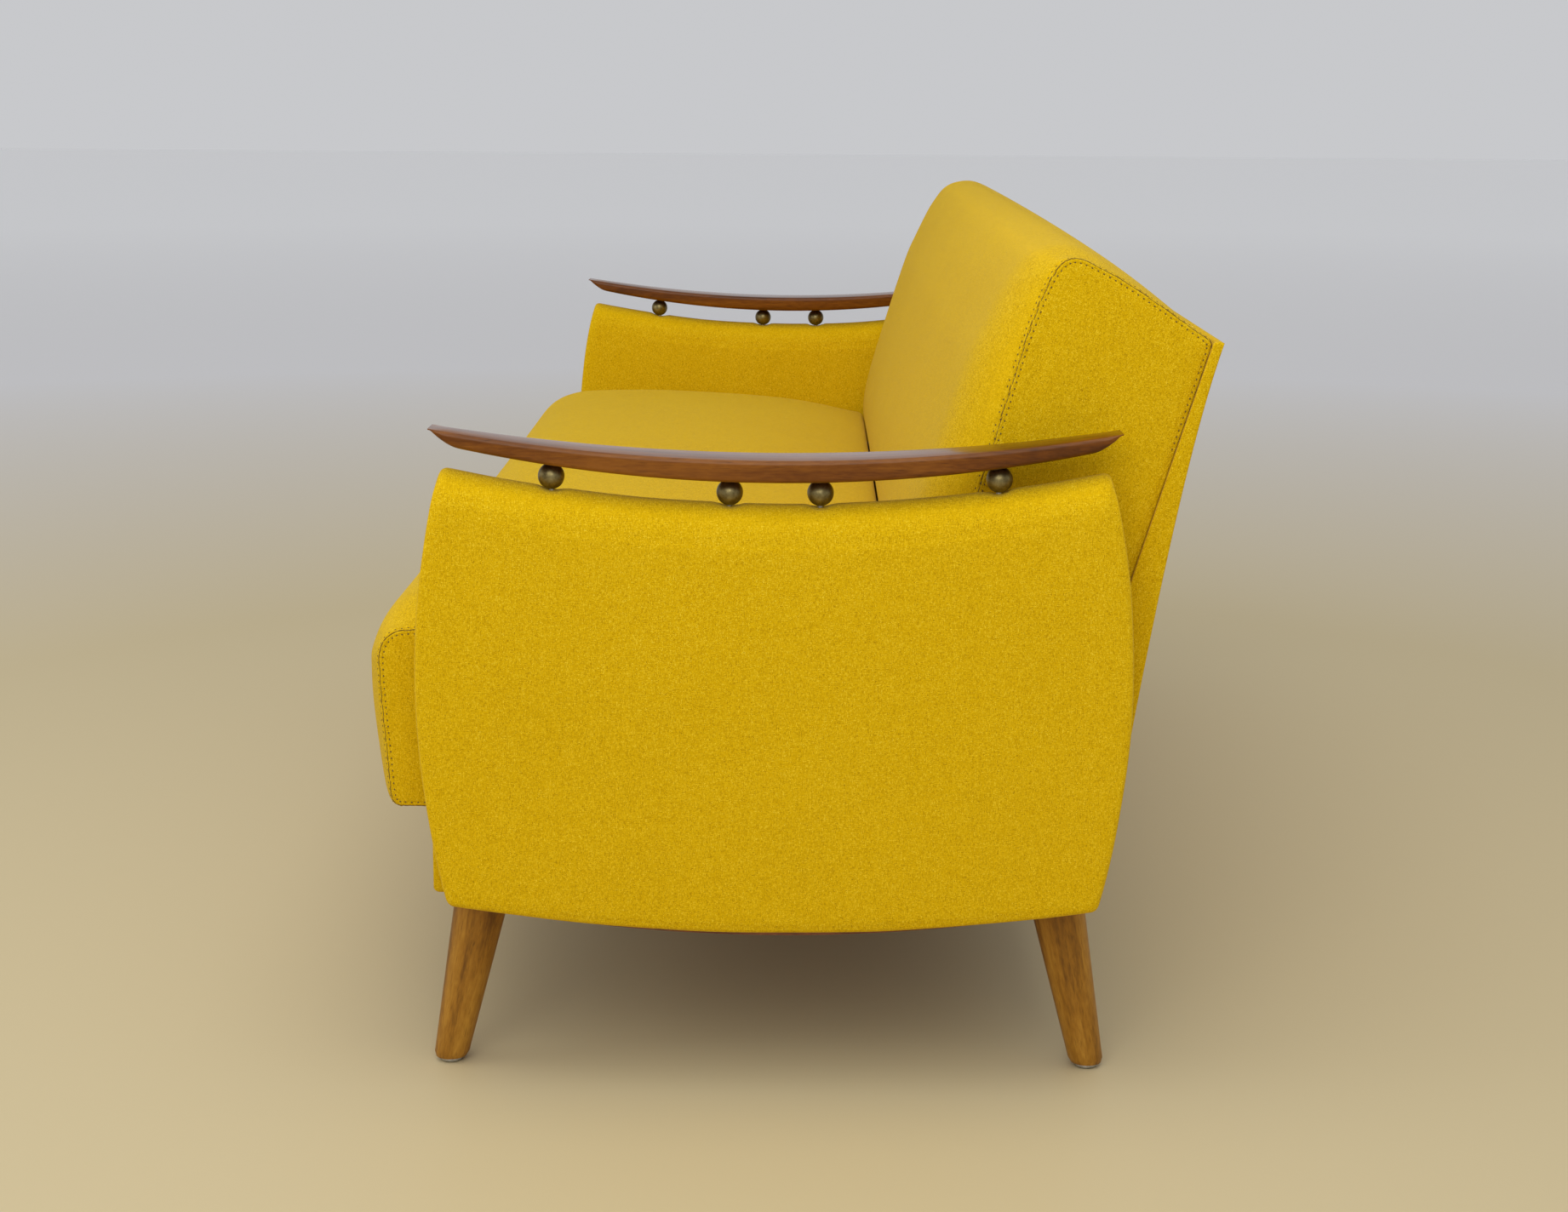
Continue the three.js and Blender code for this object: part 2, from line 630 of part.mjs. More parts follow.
function addHinge(side, hand) {
  const hole = new THREE.Path().absarc(pivot.y, pivot.z, PIN_R + FIT, 0, 2 * Math.PI, true);
  const seatPlate = new THREE.Shape();
  const [plateLow, plateHigh] = SEAT_PLATE_Z;
  seatPlate.moveTo(SEAT_PLATE_FRONT, plateLow);
  seatPlate.lineTo(98, plateLow);
  seatPlate.absarc(pivot.y, pivot.z, EYE_R, -0.49, 2.6, false);
  seatPlate.lineTo(72, plateHigh);
  seatPlate.lineTo(SEAT_PLATE_FRONT, plateHigh);
  seatPlate.holes.push(hole);
  const seatX = mirrored(SEAT_PLATE_X, SEAT_PLATE_X + HINGE_PLATE, side);
  add(`seat_hinge_plate_${hand}`, "steel", alongX(seatPlate, ...seatX));

  const backPlate = new THREE.Shape();
  backPlate.moveTo(HINGE.x + EYE_R + BACK_PLATE_LEAN, BACK_PLATE_TOP);
  backPlate.lineTo(HINGE.x - EYE_R + BACK_PLATE_LEAN, BACK_PLATE_TOP);
  backPlate.absarc(HINGE.x, HINGE.y, EYE_R, Math.PI, 2 * Math.PI, false);
  backPlate.holes.push(
    new THREE.Path().absarc(HINGE.x, HINGE.y, PIN_R + FIT, 0, 2 * Math.PI, true),
  );
  const backX = mirrored(BACK_PLATE_X, BACK_PLATE_X + HINGE_PLATE, side);
  const strap = alongX(backPlate, ...backX).applyMatrix4(toBack);
  add(`back_hinge_plate_${hand}`, "steel", strap);

  const pin = [
    [0, 0.5],
    [PIN_R, 0.5],
    [PIN_R, 7.7],
    [PIN_HEAD_R, 7.7],
    [PIN_HEAD_R, 8.9],
    [0, 8.9],
  ];
  const turnedPin = turned(pin, 20)
    .rotateY((side * Math.PI) / 2)
    .translate(side * SEAT_HALF, pivot.y, pivot.z);
  add(`hinge_pin_${hand}`, "steel", turnedPin);
}

for (const [side, hand] of HANDS) {
  addArm(side, hand);
  addHinge(side, hand);
  addLeg(side, -1, `front_${hand}`);
  addLeg(side, 1, `rear_${hand}`);
}
addBox();
addShell();
addSeat();
addBack();

export default sofa;
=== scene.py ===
"""A mustard sofa bed on splayed wooden legs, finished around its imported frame.

Metres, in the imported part's own frame: X along the sofa, -Y to the front, +Z up.
"""

import json
import math

import bmesh
import bpy
import numpy as np
from mathutils import Matrix, Vector, noise
from mathutils.bvhtree import BVHTree
from mathutils.kdtree import KDTree


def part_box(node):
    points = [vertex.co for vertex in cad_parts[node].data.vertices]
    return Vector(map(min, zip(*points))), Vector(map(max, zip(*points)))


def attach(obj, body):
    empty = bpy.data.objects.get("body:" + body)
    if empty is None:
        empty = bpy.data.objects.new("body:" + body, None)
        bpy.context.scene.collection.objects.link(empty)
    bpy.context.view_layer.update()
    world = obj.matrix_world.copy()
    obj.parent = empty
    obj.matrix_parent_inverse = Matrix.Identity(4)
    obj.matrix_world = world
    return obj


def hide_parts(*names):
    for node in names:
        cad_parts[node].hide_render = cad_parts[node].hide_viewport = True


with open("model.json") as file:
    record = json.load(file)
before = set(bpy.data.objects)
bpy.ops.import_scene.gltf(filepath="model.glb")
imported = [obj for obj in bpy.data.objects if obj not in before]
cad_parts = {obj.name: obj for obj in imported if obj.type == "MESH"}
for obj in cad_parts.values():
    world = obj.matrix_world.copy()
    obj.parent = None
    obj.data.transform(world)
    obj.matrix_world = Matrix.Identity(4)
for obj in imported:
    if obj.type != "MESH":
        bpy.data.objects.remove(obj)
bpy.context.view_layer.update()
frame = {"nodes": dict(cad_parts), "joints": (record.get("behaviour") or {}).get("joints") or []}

MM = 0.001
HANDS = (("right", 1), ("left", -1))

# Places read from the frame
arm_low, arm_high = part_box("arm_cover_outer_right")
inner_low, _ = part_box("arm_cover_inner_right")
rest_low, rest_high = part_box("armrest_right")
seat_low, seat_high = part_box("seat_cushion")
shell_low, shell_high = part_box("back_shell_cover")
rail_low, rail_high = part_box("front_rail_cover")
back_fold = next(j for j in frame["joints"] if j["name"] == "back_fold")
PIVOT = Vector(back_fold["pos_m"])


def put(name, data):
    """A new object in the scene."""
    thing = bpy.data.objects.new(name, data)
    bpy.context.scene.collection.objects.link(thing)
    return thing


# ---- camera, light and floor

CAMERA_PLACE = (3.323, 0.020, 0.990)
CAMERA_TURNS = (11.73, 0.55, 0.5)  # degrees down, aside and in roll
CAMERA_LENS = 58.63  # mm, on a sensor 36 mm wide
MIDDLE = (0, 0, 0.4)
LIGHTS = (  # name, place, side of the square, watts
    ("overhead", (1.5, -0.2, 3.4), 3.0, 44),
    ("camera_side", (4.1, -0.5, 2.6), 2.6, 59),
    ("front", (1.0, -4.0, 2.0), 2.4, 24),
)
FLOOR_HALF = 30


def place_camera():
    """The view along the sofa from beyond its right end, from a little above."""
    down, aside, roll = (math.radians(turn) for turn in CAMERA_TURNS)
    along = Vector((math.sin(aside), -math.sin(down), math.cos(down))).normalized()
    up = Vector((math.sin(roll), -math.cos(roll), 0))
    up = (up - along * up.dot(along)).normalized()
    # World X, Y and Z as the camera sees them: right, down and away
    seen = Matrix((-along, along.cross(up), up))
    right, downward, away = seen.col
    turn = Matrix((right, -downward, -away)).transposed()
    data = bpy.data.cameras.new("camera")
    data.sensor_width = 36
    data.lens = CAMERA_LENS
    camera = put("camera", data)
    camera.matrix_world = Matrix.Translation(CAMERA_PLACE) @ turn.to_4x4()
    bpy.context.scene.camera = camera


def light_studio():
    scene = bpy.context.scene
    scene.view_settings.view_transform = "Standard"
    world = bpy.data.worlds.new("studio")
    world.use_nodes = True
    background = world.node_tree.nodes["Background"]
    background.inputs["Color"].default_value = (0.93, 0.94, 0.97, 1)
    background.inputs["Strength"].default_value = 0.62
    scene.world = world
    for name, place, size, power in LIGHTS:
        data = bpy.data.lights.new(name, "AREA")
        data.shape = "SQUARE"
        data.size = size
        data.energy = power
        light = put(name, data)
        light.location = place
        toward = Vector(MIDDLE) - Vector(place)
        light.rotation_euler = toward.to_track_quat("-Z", "Y").to_euler()


def lay_floor():
    """A plain floor, warm around the sofa and paler with distance."""
    data = bpy.data.meshes.new("floor")
    half = FLOOR_HALF
    corners = [(-half, -half, 0), (half, -half, 0), (half, half, 0), (-half, half, 0)]
    data.from_pydata(corners, [], [(0, 1, 2, 3)])
    floor = put("floor", data)
    paint = Nodes("floor_paint")
    length = paint.add("ShaderNodeVectorMath", {0: paint.place}, operation="LENGTH")
    reach = FLOOR_HALF / 2
    colour = paint.ramp(paint.math("DIVIDE", length.outputs["Value"], reach), [
        (1.6 / reach, (0.56, 0.46, 0.26)),
        (5.5 / reach, (0.80, 0.79, 0.79)),
        (14 / reach, (0.96, 0.96, 0.96)),
    ])
    data.materials.append(paint.finish(colour, 0.6))


# ---- materials

class Nodes:
    """Short ways to add and join the nodes of one material."""

    def __init__(self, name, tree=None):
        if tree is None:
            self.material = bpy.data.materials.new(name)
            self.material.use_nodes = True
            self.tree = self.material.node_tree
            given = self.add("ShaderNodeTexCoord").outputs
            self.place, self.normal = given["Object"], given["Normal"]
        else:
            self.tree = tree

    def feed(self, socket, value):
        if isinstance(value, bpy.types.NodeSocket):
            self.tree.links.new(value, socket)
        else:
            socket.default_value = value

    def add(self, kind, inputs=None, **settings):
        node = self.tree.nodes.new(kind)
        for key, value in settings.items():
            setattr(node, key, value)
        for key, value in (inputs or {}).items():
            self.feed(node.inputs[key], value)
        return node

    def finish(self, colour, roughness, normal=None, **more):
        """Feeds the shader and returns the material."""
        inputs = self.tree.nodes["Principled BSDF"].inputs
        if normal is not None:
            more["Normal"] = normal
        for key, value in {"Base Color": colour, "Roughness": roughness, **more}.items():
            self.feed(inputs[key], value)
        return self.material

    def math(self, operation, a, b=0.0, c=0.0):
        inputs = {0: a, 1: b}
        if operation == "MULTIPLY_ADD":
            inputs[2] = c
        return self.add("ShaderNodeMath", inputs, operation=operation).outputs[0]

    def sway(self, value, pattern, share):
        """A value moved up and down by its share of a pattern that runs from 0 to 1."""
        return self.math("MULTIPLY_ADD", self.math("SUBTRACT", pattern, 0.5), share, value)

    def noise(self, vector, scale, detail=2.0, roughness=0.5):
        """A scale of three numbers stretches the pattern."""
        if isinstance(scale, tuple):
            vector, scale = self.stretch(vector, scale), 1.0
        inputs = {"Vector": vector, "Scale": scale, "Detail": detail, "Roughness": roughness}
        return self.add("ShaderNodeTexNoise", inputs).outputs["Fac"]

    def stretch(self, vector, scale, turn=(0, 0, 0)):
        inputs = {"Vector": vector, "Scale": scale, "Rotation": turn}
        return self.add("ShaderNodeMapping", inputs).outputs[0]

    def blend(self, share, a, b, kind="MIX"):
        inputs = {0: share, 6: a, 7: b}
        return self.add("ShaderNodeMix", inputs, data_type="RGBA", blend_type=kind).outputs[2]

    def span(self, value, low, high, to_low=0.0, to_high=1.0):
        inputs = {"Value": value, 1: low, 2: high, 3: to_low, 4: to_high}
        return self.add("ShaderNodeMapRange", inputs).outputs[0]

    def ramp(self, value, stops):
        node = self.add("ShaderNodeValToRGB", {"Fac": value})
        elements = node.color_ramp.elements
        while len(elements) < len(stops):
            elements.new(0.5)
        for element, (place, colour) in zip(elements, stops):
            element.position = place
            element.color = (*colour, 1)
        return node.outputs["Color"]

    def bump(self, height, strength, distance, under=None):
        inputs = {"Height": height, "Strength": strength, "Distance": distance}
        if under is not None:
            inputs["Normal"] = under
        return self.add("ShaderNodeBump", inputs).outputs[0]


THREAD_PITCH = 0.00105
STREAK = 0.34  # how fast a thread's tone changes along it, against across it


def weave_group():
    """A plain weave in the plane of A and B: threads of mixed tone that pass over and under."""
    tree = bpy.data.node_groups.new("weave", "ShaderNodeTree")
    for name in ("A", "B"):
        tree.interface.new_socket(name, in_out="INPUT", socket_type="NodeSocketFloat")
    for name in ("Tone", "Height"):
        tree.interface.new_socket(name, in_out="OUTPUT", socket_type="NodeSocketFloat")
    n = Nodes("weave", tree)
    given = n.add("NodeGroupInput").outputs
    a, b = (n.math("MULTIPLY", given[way], 1 / THREAD_PITCH) for way in ("A", "B"))
    squares = n.math("ADD", n.math("FLOOR", a), n.math("FLOOR", b))
    over = n.math("FLOORED_MODULO", squares, 2.0)
    long_a, long_b = (n.math("MULTIPLY", way, STREAK) for way in (a, b))
    warp = n.add("ShaderNodeCombineXYZ", {0: a, 1: long_b, 2: 3.7}).outputs[0]
    weft = n.add("ShaderNodeCombineXYZ", {0: long_a, 1: b, 2: 9.1}).outputs[0]
    warp_tone, weft_tone = (n.noise(way, 1.0, 1.0) for way in (warp, weft))
    warp_round, weft_round = (
        n.math("ABSOLUTE", n.math("SINE", n.math("MULTIPLY", way, math.pi))) for way in (a, b)
    )

    def chosen(first, second):
        inputs = {0: over, 2: first, 3: second}
        return n.add("ShaderNodeMix", inputs, data_type="FLOAT").outputs[0]

    n.add("NodeGroupOutput", {
        "Tone": chosen(weft_tone, warp_tone),
        "Height": chosen(weft_round, warp_round),
    })
    return tree


def three_ways(n, place, normal, group):
    """The weave seen along X, Y and Z, each where the surface faces that way."""
    split = n.add("ShaderNodeSeparateXYZ", {0: place}).outputs
    facing = n.add("ShaderNodeSeparateXYZ", {0: normal}).outputs
    sharpness = 5.0
    weights = [n.math("POWER", n.math("ABSOLUTE", facing[i]), sharpness) for i in range(3)]
    total = n.math("ADD", n.math("ADD", weights[0], weights[1]), weights[2])
    sums = [0.0, 0.0]
    for i, (a, b) in enumerate(((1, 2), (0, 2), (0, 1))):
        woven = n.add("ShaderNodeGroup", {"A": split[a], "B": split[b]}, node_tree=group)
        share = n.math("DIVIDE", weights[i], total)
        sums = [n.math("MULTIPLY_ADD", woven.outputs[k], share, sums[k]) for k in range(2)]
    return sums


def fabric(name, group, lean=0.0):
    """Mustard melange weave; lean turns the threads with a panel that leans back."""
    n = Nodes(name)
    place, normal = n.place, n.normal
    if lean:
        place = n.stretch(place, (1, 1, 1), (lean, 0, 0))
        normal = n.stretch(normal, (1, 1, 1), (lean, 0, 0))
    tone, height = three_ways(n, place, normal, group)
    fleck = n.noise(place, 900, 2, 0.6)
    cloud = n.noise(place, 90, 3, 0.6)
    broad = n.noise(place, 6, 2)
    mixed = tone
    for pattern, share in ((fleck, 0.35), (cloud, 0.12), (broad, 0.06)):
        mixed = n.sway(mixed, pattern, share)
    colour = n.ramp(mixed, [
        (0.18, (0.36, 0.195, 0.0005)),
        (0.42, (0.63, 0.377, 0.0006)),
        (0.58, (0.74, 0.468, 0.0010)),
        (0.84, (0.91, 0.685, 0.050)),
    ])
    # Painted shade: the colour is darkened down to 0.62 where the weave dips between its crossings
    weave_gap_shade = n.span(height, 0.0, 0.45, 0.62, 1.0)
    colour = n.blend(1.0, colour, weave_gap_shade, "MULTIPLY")
    fuzz = n.noise(place, 1500, 2, 0.6)
    relief = n.math("MULTIPLY_ADD", fuzz, 0.5, height)
    soft = n.bump(cloud, 0.06, 1.0 * MM)
    return n.finish(colour, 0.92, n.bump(relief, 0.55, 0.35 * MM, soft), **{
        "Specular IOR Level": 0.08,
        "Sheen Weight": 0.11,
        "Sheen Roughness": 0.36,
        "Sheen Tint": (1.0, 0.93, 0.55, 1),
    })


def wood(name, stops, roughness, grain=1.0, turn=(0, 0, 0), coat=0.0):
    """Wood whose grain runs along Y before the turn, with drifting bands and short pores.

    A coat of lacquer takes the place of most of the wood's own shine.
    """
    n = Nodes(name)
    place = n.stretch(n.place, (1, 1, 1), turn)
    wander = n.noise(place, (9, 2.2, 9), 3, 0.6)
    bands = n.noise(place, (70 * grain, 2.6, 70 * grain), 5, 0.62)
    figure = n.sway(bands, wander, 0.8)
    pores = n.noise(place, (1100, 42, 1100), 2, 0.6)
    pore = n.span(pores, 0.60, 0.72)
    flecks = n.noise(place, (420, 75, 420))
    figure = n.sway(figure, flecks, 0.35)
    colour = n.ramp(figure, stops)
    pore_colour = (*[c * 0.35 for c in stops[0][1]], 1)
    colour = n.blend(n.math("MULTIPLY", pore, 0.55), colour, pore_colour)
    worn = n.noise(place, (14, 6, 14), 4, 0.65)
    roughness = n.span(worn, 0.3, 0.7, roughness - 0.07, roughness + 0.12)
    relief = n.math("SUBTRACT", bands, n.math("MULTIPLY", pore, 0.6))
    return n.finish(colour, roughness, n.bump(relief, 0.12, 0.3 * MM), **{
        "Specular IOR Level": 0.10 if coat else 0.24,
        "Specular Tint": (1, 0.75, 0.4, 1) if coat else (1, 1, 1, 1),
        "Coat Weight": coat,
        "Coat IOR": 1.25,
        "Coat Roughness": 0.22,
    })


def bronze():
    n = Nodes("aged_bronze")
    patina = n.noise(n.place, 160, 4, 0.65)
    scuff = n.noise(n.place, 900, 3, 0.6)
    colour = n.ramp(patina, [
        (0.30, (0.120, 0.090, 0.036)),
        (0.52, (0.220, 0.175, 0.074)),
        (0.75, (0.330, 0.270, 0.125)),
    ])
    roughness = n.span(scuff, 0.3, 0.7, 0.34, 0.50)
    return n.finish(colour, roughness, n.bump(scuff, 0.08, 0.2 * MM), Metallic=1.0)


def steel():
    n = Nodes("zinced_steel")
    crystal = n.noise(n.place, 240, 3, 0.6)
    brushed = n.noise(n.place, (40, 2200, 2200))
    colour = n.ramp(crystal, [(0.3, (0.34, 0.34, 0.33)), (0.7, (0.56, 0.56, 0.55))])
    roughness = n.span(crystal, 0.3, 0.7, 0.28, 0.48)
    return n.finish(colour, roughness, n.bump(brushed, 0.06, 0.1 * MM), Metallic=1.0)


def fibre_board():
    n = Nodes("fibre_board")
    fibres = n.noise(n.place, (300, 90, 300), 5, 0.7)
    figure = n.sway(fibres, n.noise(n.place, 24, 3), 0.5)
    colour = n.ramp(figure, [(0.3, (0.11, 0.035, 0.014)), (0.7, (0.26, 0.095, 0.040))])
    roughness = n.span(fibres, 0.3, 0.7, 0.62, 0.85)
    return n.finish(colour, roughness, n.bump(fibres, 0.25, 0.3 * MM))


def felt():
    n = Nodes("felt")
    fibres = n.noise(n.place, 700, 5, 0.75)
    figure = n.sway(fibres, n.noise(n.place, 45, 4, 0.6), 0.6)
    colour = n.ramp(figure, [(0.3, (0.16, 0.14, 0.11)), (0.7, (0.40, 0.36, 0.29))])
    return n.finish(colour, 0.95, n.bump(figure, 0.5, 0.8 * MM), **{"Sheen Weight": 0.2})


def thread_and_seam_shade():
    n = Nodes("thread_and_seam_shade")
    twist = n.noise(n.place, 2600)
    # Stitch colour darkened past the yarn's own mustard: painted shade of the needle holes where
    # the stitches dip. The same dark material makes the painted shade bead along each seam.
    colour = n.ramp(twist, [(0.3, (0.090, 0.050, 0.002)), (0.7, (0.190, 0.110, 0.005))])
    return n.finish(colour, 0.8, n.bump(twist, 0.4, 0.1 * MM))


def make_materials():
    group = weave_group()
    leg_stain = [
        (0.30, (0.140, 0.054, 0.005)),
        (0.50, (0.290, 0.124, 0.010)),
        (0.72, (0.430, 0.208, 0.024)),
    ]
    rest_stain = [
        (0.28, (0.070, 0.018, 0.001)),
        (0.50, (0.135, 0.038, 0.002)),
        (0.74, (0.215, 0.070, 0.005)),
    ]
    pine = [
        (0.28, (0.36, 0.20, 0.085)),
        (0.52, (0.56, 0.36, 0.17)),
        (0.76, (0.68, 0.48, 0.26)),
    ]
    upright = math.radians(90)
    return {
        "fabric": fabric("mustard_weave", group),
        "fabric_lean": fabric("mustard_weave_leaning", group, LEAN),
        "rest": wood("walnut_rest", rest_stain, 0.36, coat=1.0),
        "leg_front": wood("walnut_leg_front", leg_stain, 0.42, 0.8, (upright + SPLAY, 0, 0)),
        "leg_rear": wood("walnut_leg_rear", leg_stain, 0.42, 0.8, (upright - SPLAY, 0, 0)),
        "pine": wood("pine", pine, 0.62, 0.5, (0, 0, upright)),
        "pine_deep": wood("pine_deep", pine, 0.62, 0.5),
        "bronze": bronze(),
        "steel": steel(),
        "board": fibre_board(),
        "felt": felt(),
        "thread_and_seam_shade": thread_and_seam_shade(),
    }


# ---- curves and skins

CURVE_STEPS = 24


def smooth_line(points, count):
    """count + 1 even points along a smooth curve through the given ones."""
    p = [np.array(q, float) for q in points]
    p = [2 * p[0] - p[1], *p, 2 * p[-1] - p[-2]]
    dense = []
    for i in range(1, len(p) - 2):
        for t in np.linspace(0, 1, CURVE_STEPS, endpoint=False):
            dense.append(0.5 * (
                2 * p[i]
                + (p[i + 1] - p[i - 1]) * t
                + (2 * p[i - 1] - 5 * p[i] + 4 * p[i + 1] - p[i + 2]) * t ** 2
                + (3 * p[i] - p[i - 1] - 3 * p[i + 1] + p[i + 2]) * t ** 3
            ))
    dense.append(p[-2])
    return even(dense, count)


def even(line, count):
    """The same line with count + 1 points at even spacing."""
    line = np.array(line, float)
    run = np.concatenate([[0], np.cumsum(np.linalg.norm(np.diff(line, axis=0), axis=1))])
    at = np.linspace(0, run[-1], count + 1)
    return np.stack([np.interp(at, run, line[:, k]) for k in range(line.shape[1])], 1)


def bend(start, control, end, count):
    """count + 1 points of a quadratic curve drawn towards its control point."""
    t = np.linspace(0, 1, count + 1)[:, None]
    start, control, end = (np.array(p) for p in (start, control, end))
    return start * (1 - t) ** 2 + 2 * control * t * (1 - t) + end * t ** 2


def join(spans):
    """A closed outline from spans that each start where the one before ends."""
    return np.concatenate([span[:-1] for span in spans])


def outward(outline):
    """Unit normals of a closed counter-clockwise outline."""
    along = np.roll(outline, -1, 0) - np.roll(outline, 1, 0)
    along /= np.linalg.norm(along, axis=1)[:, None]
    return np.stack([along[:, 1], -along[:, 0]], 1)


def ring(outline, x):
    """An outline in Y and Z as points at x, which is one number or one for each point."""
    return np.column_stack([np.broadcast_to(x, len(outline)), outline])


def skin(rings, closed_ends=True):
    """Vertices and faces of a skin through rings of equal length."""
    n = len(rings[0])
    faces = []
    for k in range(len(rings) - 1):
        for i in range(n):
            j = (i + 1) % n
            faces.append((k * n + i, k * n + j, (k + 1) * n + j, (k + 1) * n + i))
    if closed_ends:
        faces.append(tuple(range(n)))
        faces.append(tuple(range((len(rings) - 1) * n, len(rings) * n)))
    return np.concatenate(rings), faces


def patch(numbers, places, counts, rise):
    """New points and quads that fill a loop of four sides, blended from its edges.

    The loop starts at a corner; counts are the steps of its first and second sides. The middle
    stands out along X by rise.
    """
    n, m = counts
    grid = {}
    for i in range(n + 1):
        grid[i, 0] = numbers[i]
        grid[i, m] = numbers[2 * n + m - i]
    for j in range(1, m):
        grid[n, j] = numbers[n + j]
        grid[0, j] = numbers[-j]
    corners = [places[grid[k]] for k in ((0, 0), (n, 0), (n, m), (0, m))]
    first = len(places)
    added = []
    for i in range(1, n):
        for j in range(1, m):
            u, v = i / n, j / m
            across = places[grid[i, 0]] * (1 - v) + places[grid[i, m]] * v
            upward = places[grid[0, j]] * (1 - u) + places[grid[n, j]] * u
            shares = ((1 - u) * (1 - v), u * (1 - v), u * v, (1 - u) * v)
            flat = across + upward - sum(c * w for c, w in zip(corners, shares))
            flat[0] += rise * (1 - (2 * u - 1) ** 4) * (1 - (2 * v - 1) ** 4)
            grid[i, j] = first + len(added)
            added.append(flat)
    faces = [
        (grid[i, j], grid[i + 1, j], grid[i + 1, j + 1], grid[i, j + 1])
        for i in range(n)
        for j in range(m)
    ]
    return np.array(added), faces


def closed_skin(rings, counts, rise, start=0):
    """A skin whose two ends are filled with patches that begin at the given point of the loop."""
    places, faces = skin(rings, closed_ends=False)
    n = len(rings[0])
    for first, out in ((0, -rise), ((len(rings) - 1) * n, rise)):
        numbers = [first + (start + i) % n for i in range(n)]
        added, quads = patch(numbers, places, counts, out)
        places = np.concatenate([places, added])
        faces += quads
    return places, faces


def mirrored(middle, side):
    """A skin's rings across X, from its middle ring and the rings on its positive side."""
    return [*(rim * np.array([-1, 1, 1]) for rim in reversed(side)), middle, *side]


def circle(radius, sides):
    turn = np.linspace(0, 2 * math.pi, sides, endpoint=False)
    return radius * np.cos(turn), radius * np.sin(turn)


def mesh_object(name, vertices, faces):
    data = bpy.data.meshes.new(name)
    data.from_pydata([tuple(v) for v in vertices], [], faces)
    work = bmesh.new()
    work.from_mesh(data)
    bmesh.ops.remove_doubles(work, verts=work.verts, dist=1e-6)
    big = [f for f in work.faces if len(f.verts) > 4]
    bmesh.ops.triangulate(work, faces=big)
    bmesh.ops.recalc_face_normals(work, faces=work.faces)
    work.to_mesh(data)
    work.free()
    data.shade_smooth()
    return put(name, data)


def settle(piece, material, body, slot, *nodes):
    """Gives a piece its material and body, and hides the CAD nodes that it stands for. The slot is
    not used.
    """
    piece.data.materials.clear()
    piece.data.materials.append(material)
    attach(piece, body)
    if nodes:
        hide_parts(*nodes)


def add_bevel(piece, width, segments=2):
    bevel = piece.modifiers.new("bevel", "BEVEL")
    bevel.width = width
    bevel.segments = segments
    bevel.limit_method = "ANGLE"
    bevel.angle_limit = math.radians(35)


def coordinates(data, kind="co"):
    flat = np.empty(len(data.vertices) * 3)
    data.vertices.foreach_get(kind, flat)
    return flat.reshape(-1, 3)


def set_coordinates(data, places):
    data.vertices.foreach_set("co", places.ravel())
    data.update()


def apply_subdivision(piece, levels):
    """A finer mesh in place of the piece's own; the old vertices keep their numbers."""
    modifier = piece.modifiers.new("finer", "SUBSURF")
    modifier.levels = levels
    apply_modifiers(piece)


def apply_modifiers(piece):
    graph = bpy.context.evaluated_depsgraph_get()
    fine = bpy.data.meshes.new_from_object(piece.evaluated_get(graph))
    piece.modifiers.clear()
    piece.data = fine
    fine.shade_smooth()


def eased(share):
    """0 below 0, 1 above 1 and a smooth rise between."""
    share = np.clip(share, 0, 1)
    return share * share * (3 - 2 * share)


def ripple(places, normals, size, depth, seed):
    """Moves points along their normals by a smooth, fixed pattern."""
    shift = Vector((seed * 7.3, seed * 3.1, seed * 5.7))
    moves = [noise.noise(Vector(p) / size + shift) * depth for p in places]
    return places + normals * np.array(moves)[:, None]


def point_tree(points):
    tree = KDTree(len(points))
    for i, p in enumerate(points):
        tree.insert(p, i)
    tree.balance()
    return tree


# ---- arms

ARM_X = (arm_high.x + inner_low.x) / 2
ARM_HALF_THICK = (arm_high.x - inner_low.x) / 2
ARM_Y = (arm_low.y + arm_high.y) / 2
ARM_TOP = arm_high.z
TOP_SAG = 0.033
TOP_HALF = 0.320
FOOT_SAG = 0.025
FOOT_HALF = 0.318
SIDE_BULGE = 0.027
ARM_FOOT = arm_low.z + FOOT_SAG
CORE_INSET = 0.0015
EDGE_ROUND = 0.0065
TOP_ROUND = 0.031
CROWN = 0.0055  # the padding's rise between the feet of the balls
DIMPLE = (0.005, 0.016)  # around a ball's foot: where the rise starts and where it is full
SINK = 0.0022  # how far a ball's foot sinks into the padding
SOFT_DEPTH = 0.030  # how far below the top edge the padding is still thick
BULGE = 0.0028  # of the padded faces
RIPPLE = (0.11, 0.0011)  # size and depth of the padding's unevenness
SIDE_STOPS = (0.006, 0.008, 0.008, 0.008)  # from the ends of foot, rear, top and front to a corner
ARM_ALONG = 52  # steps of the outline's long sides, its upright sides and its corners
ARM_UP = 30
ARM_TURN = 6
CORE_HIDDEN = 0.0055  # the boards' place below the padding's surface
CORE_SHOWN = 0.002  # more of the boards' lower edge than the plain solid shows
CORE_EDGE = 0.001
CORE_TOP_ROUND = 0.022


def bowed_side(start, end, bow, corner, count):
    """A side that bows outward between its corners' roundings."""
    start = np.array(start)
    along = np.array(end) - start
    length = np.linalg.norm(along)
    side = np.array([along[1], -along[0]]) / length
    t = np.linspace(corner / length, 1 - corner / length, count + 1)[:, None]
    return start + along * t + side * (4 * bow * t * (1 - t))


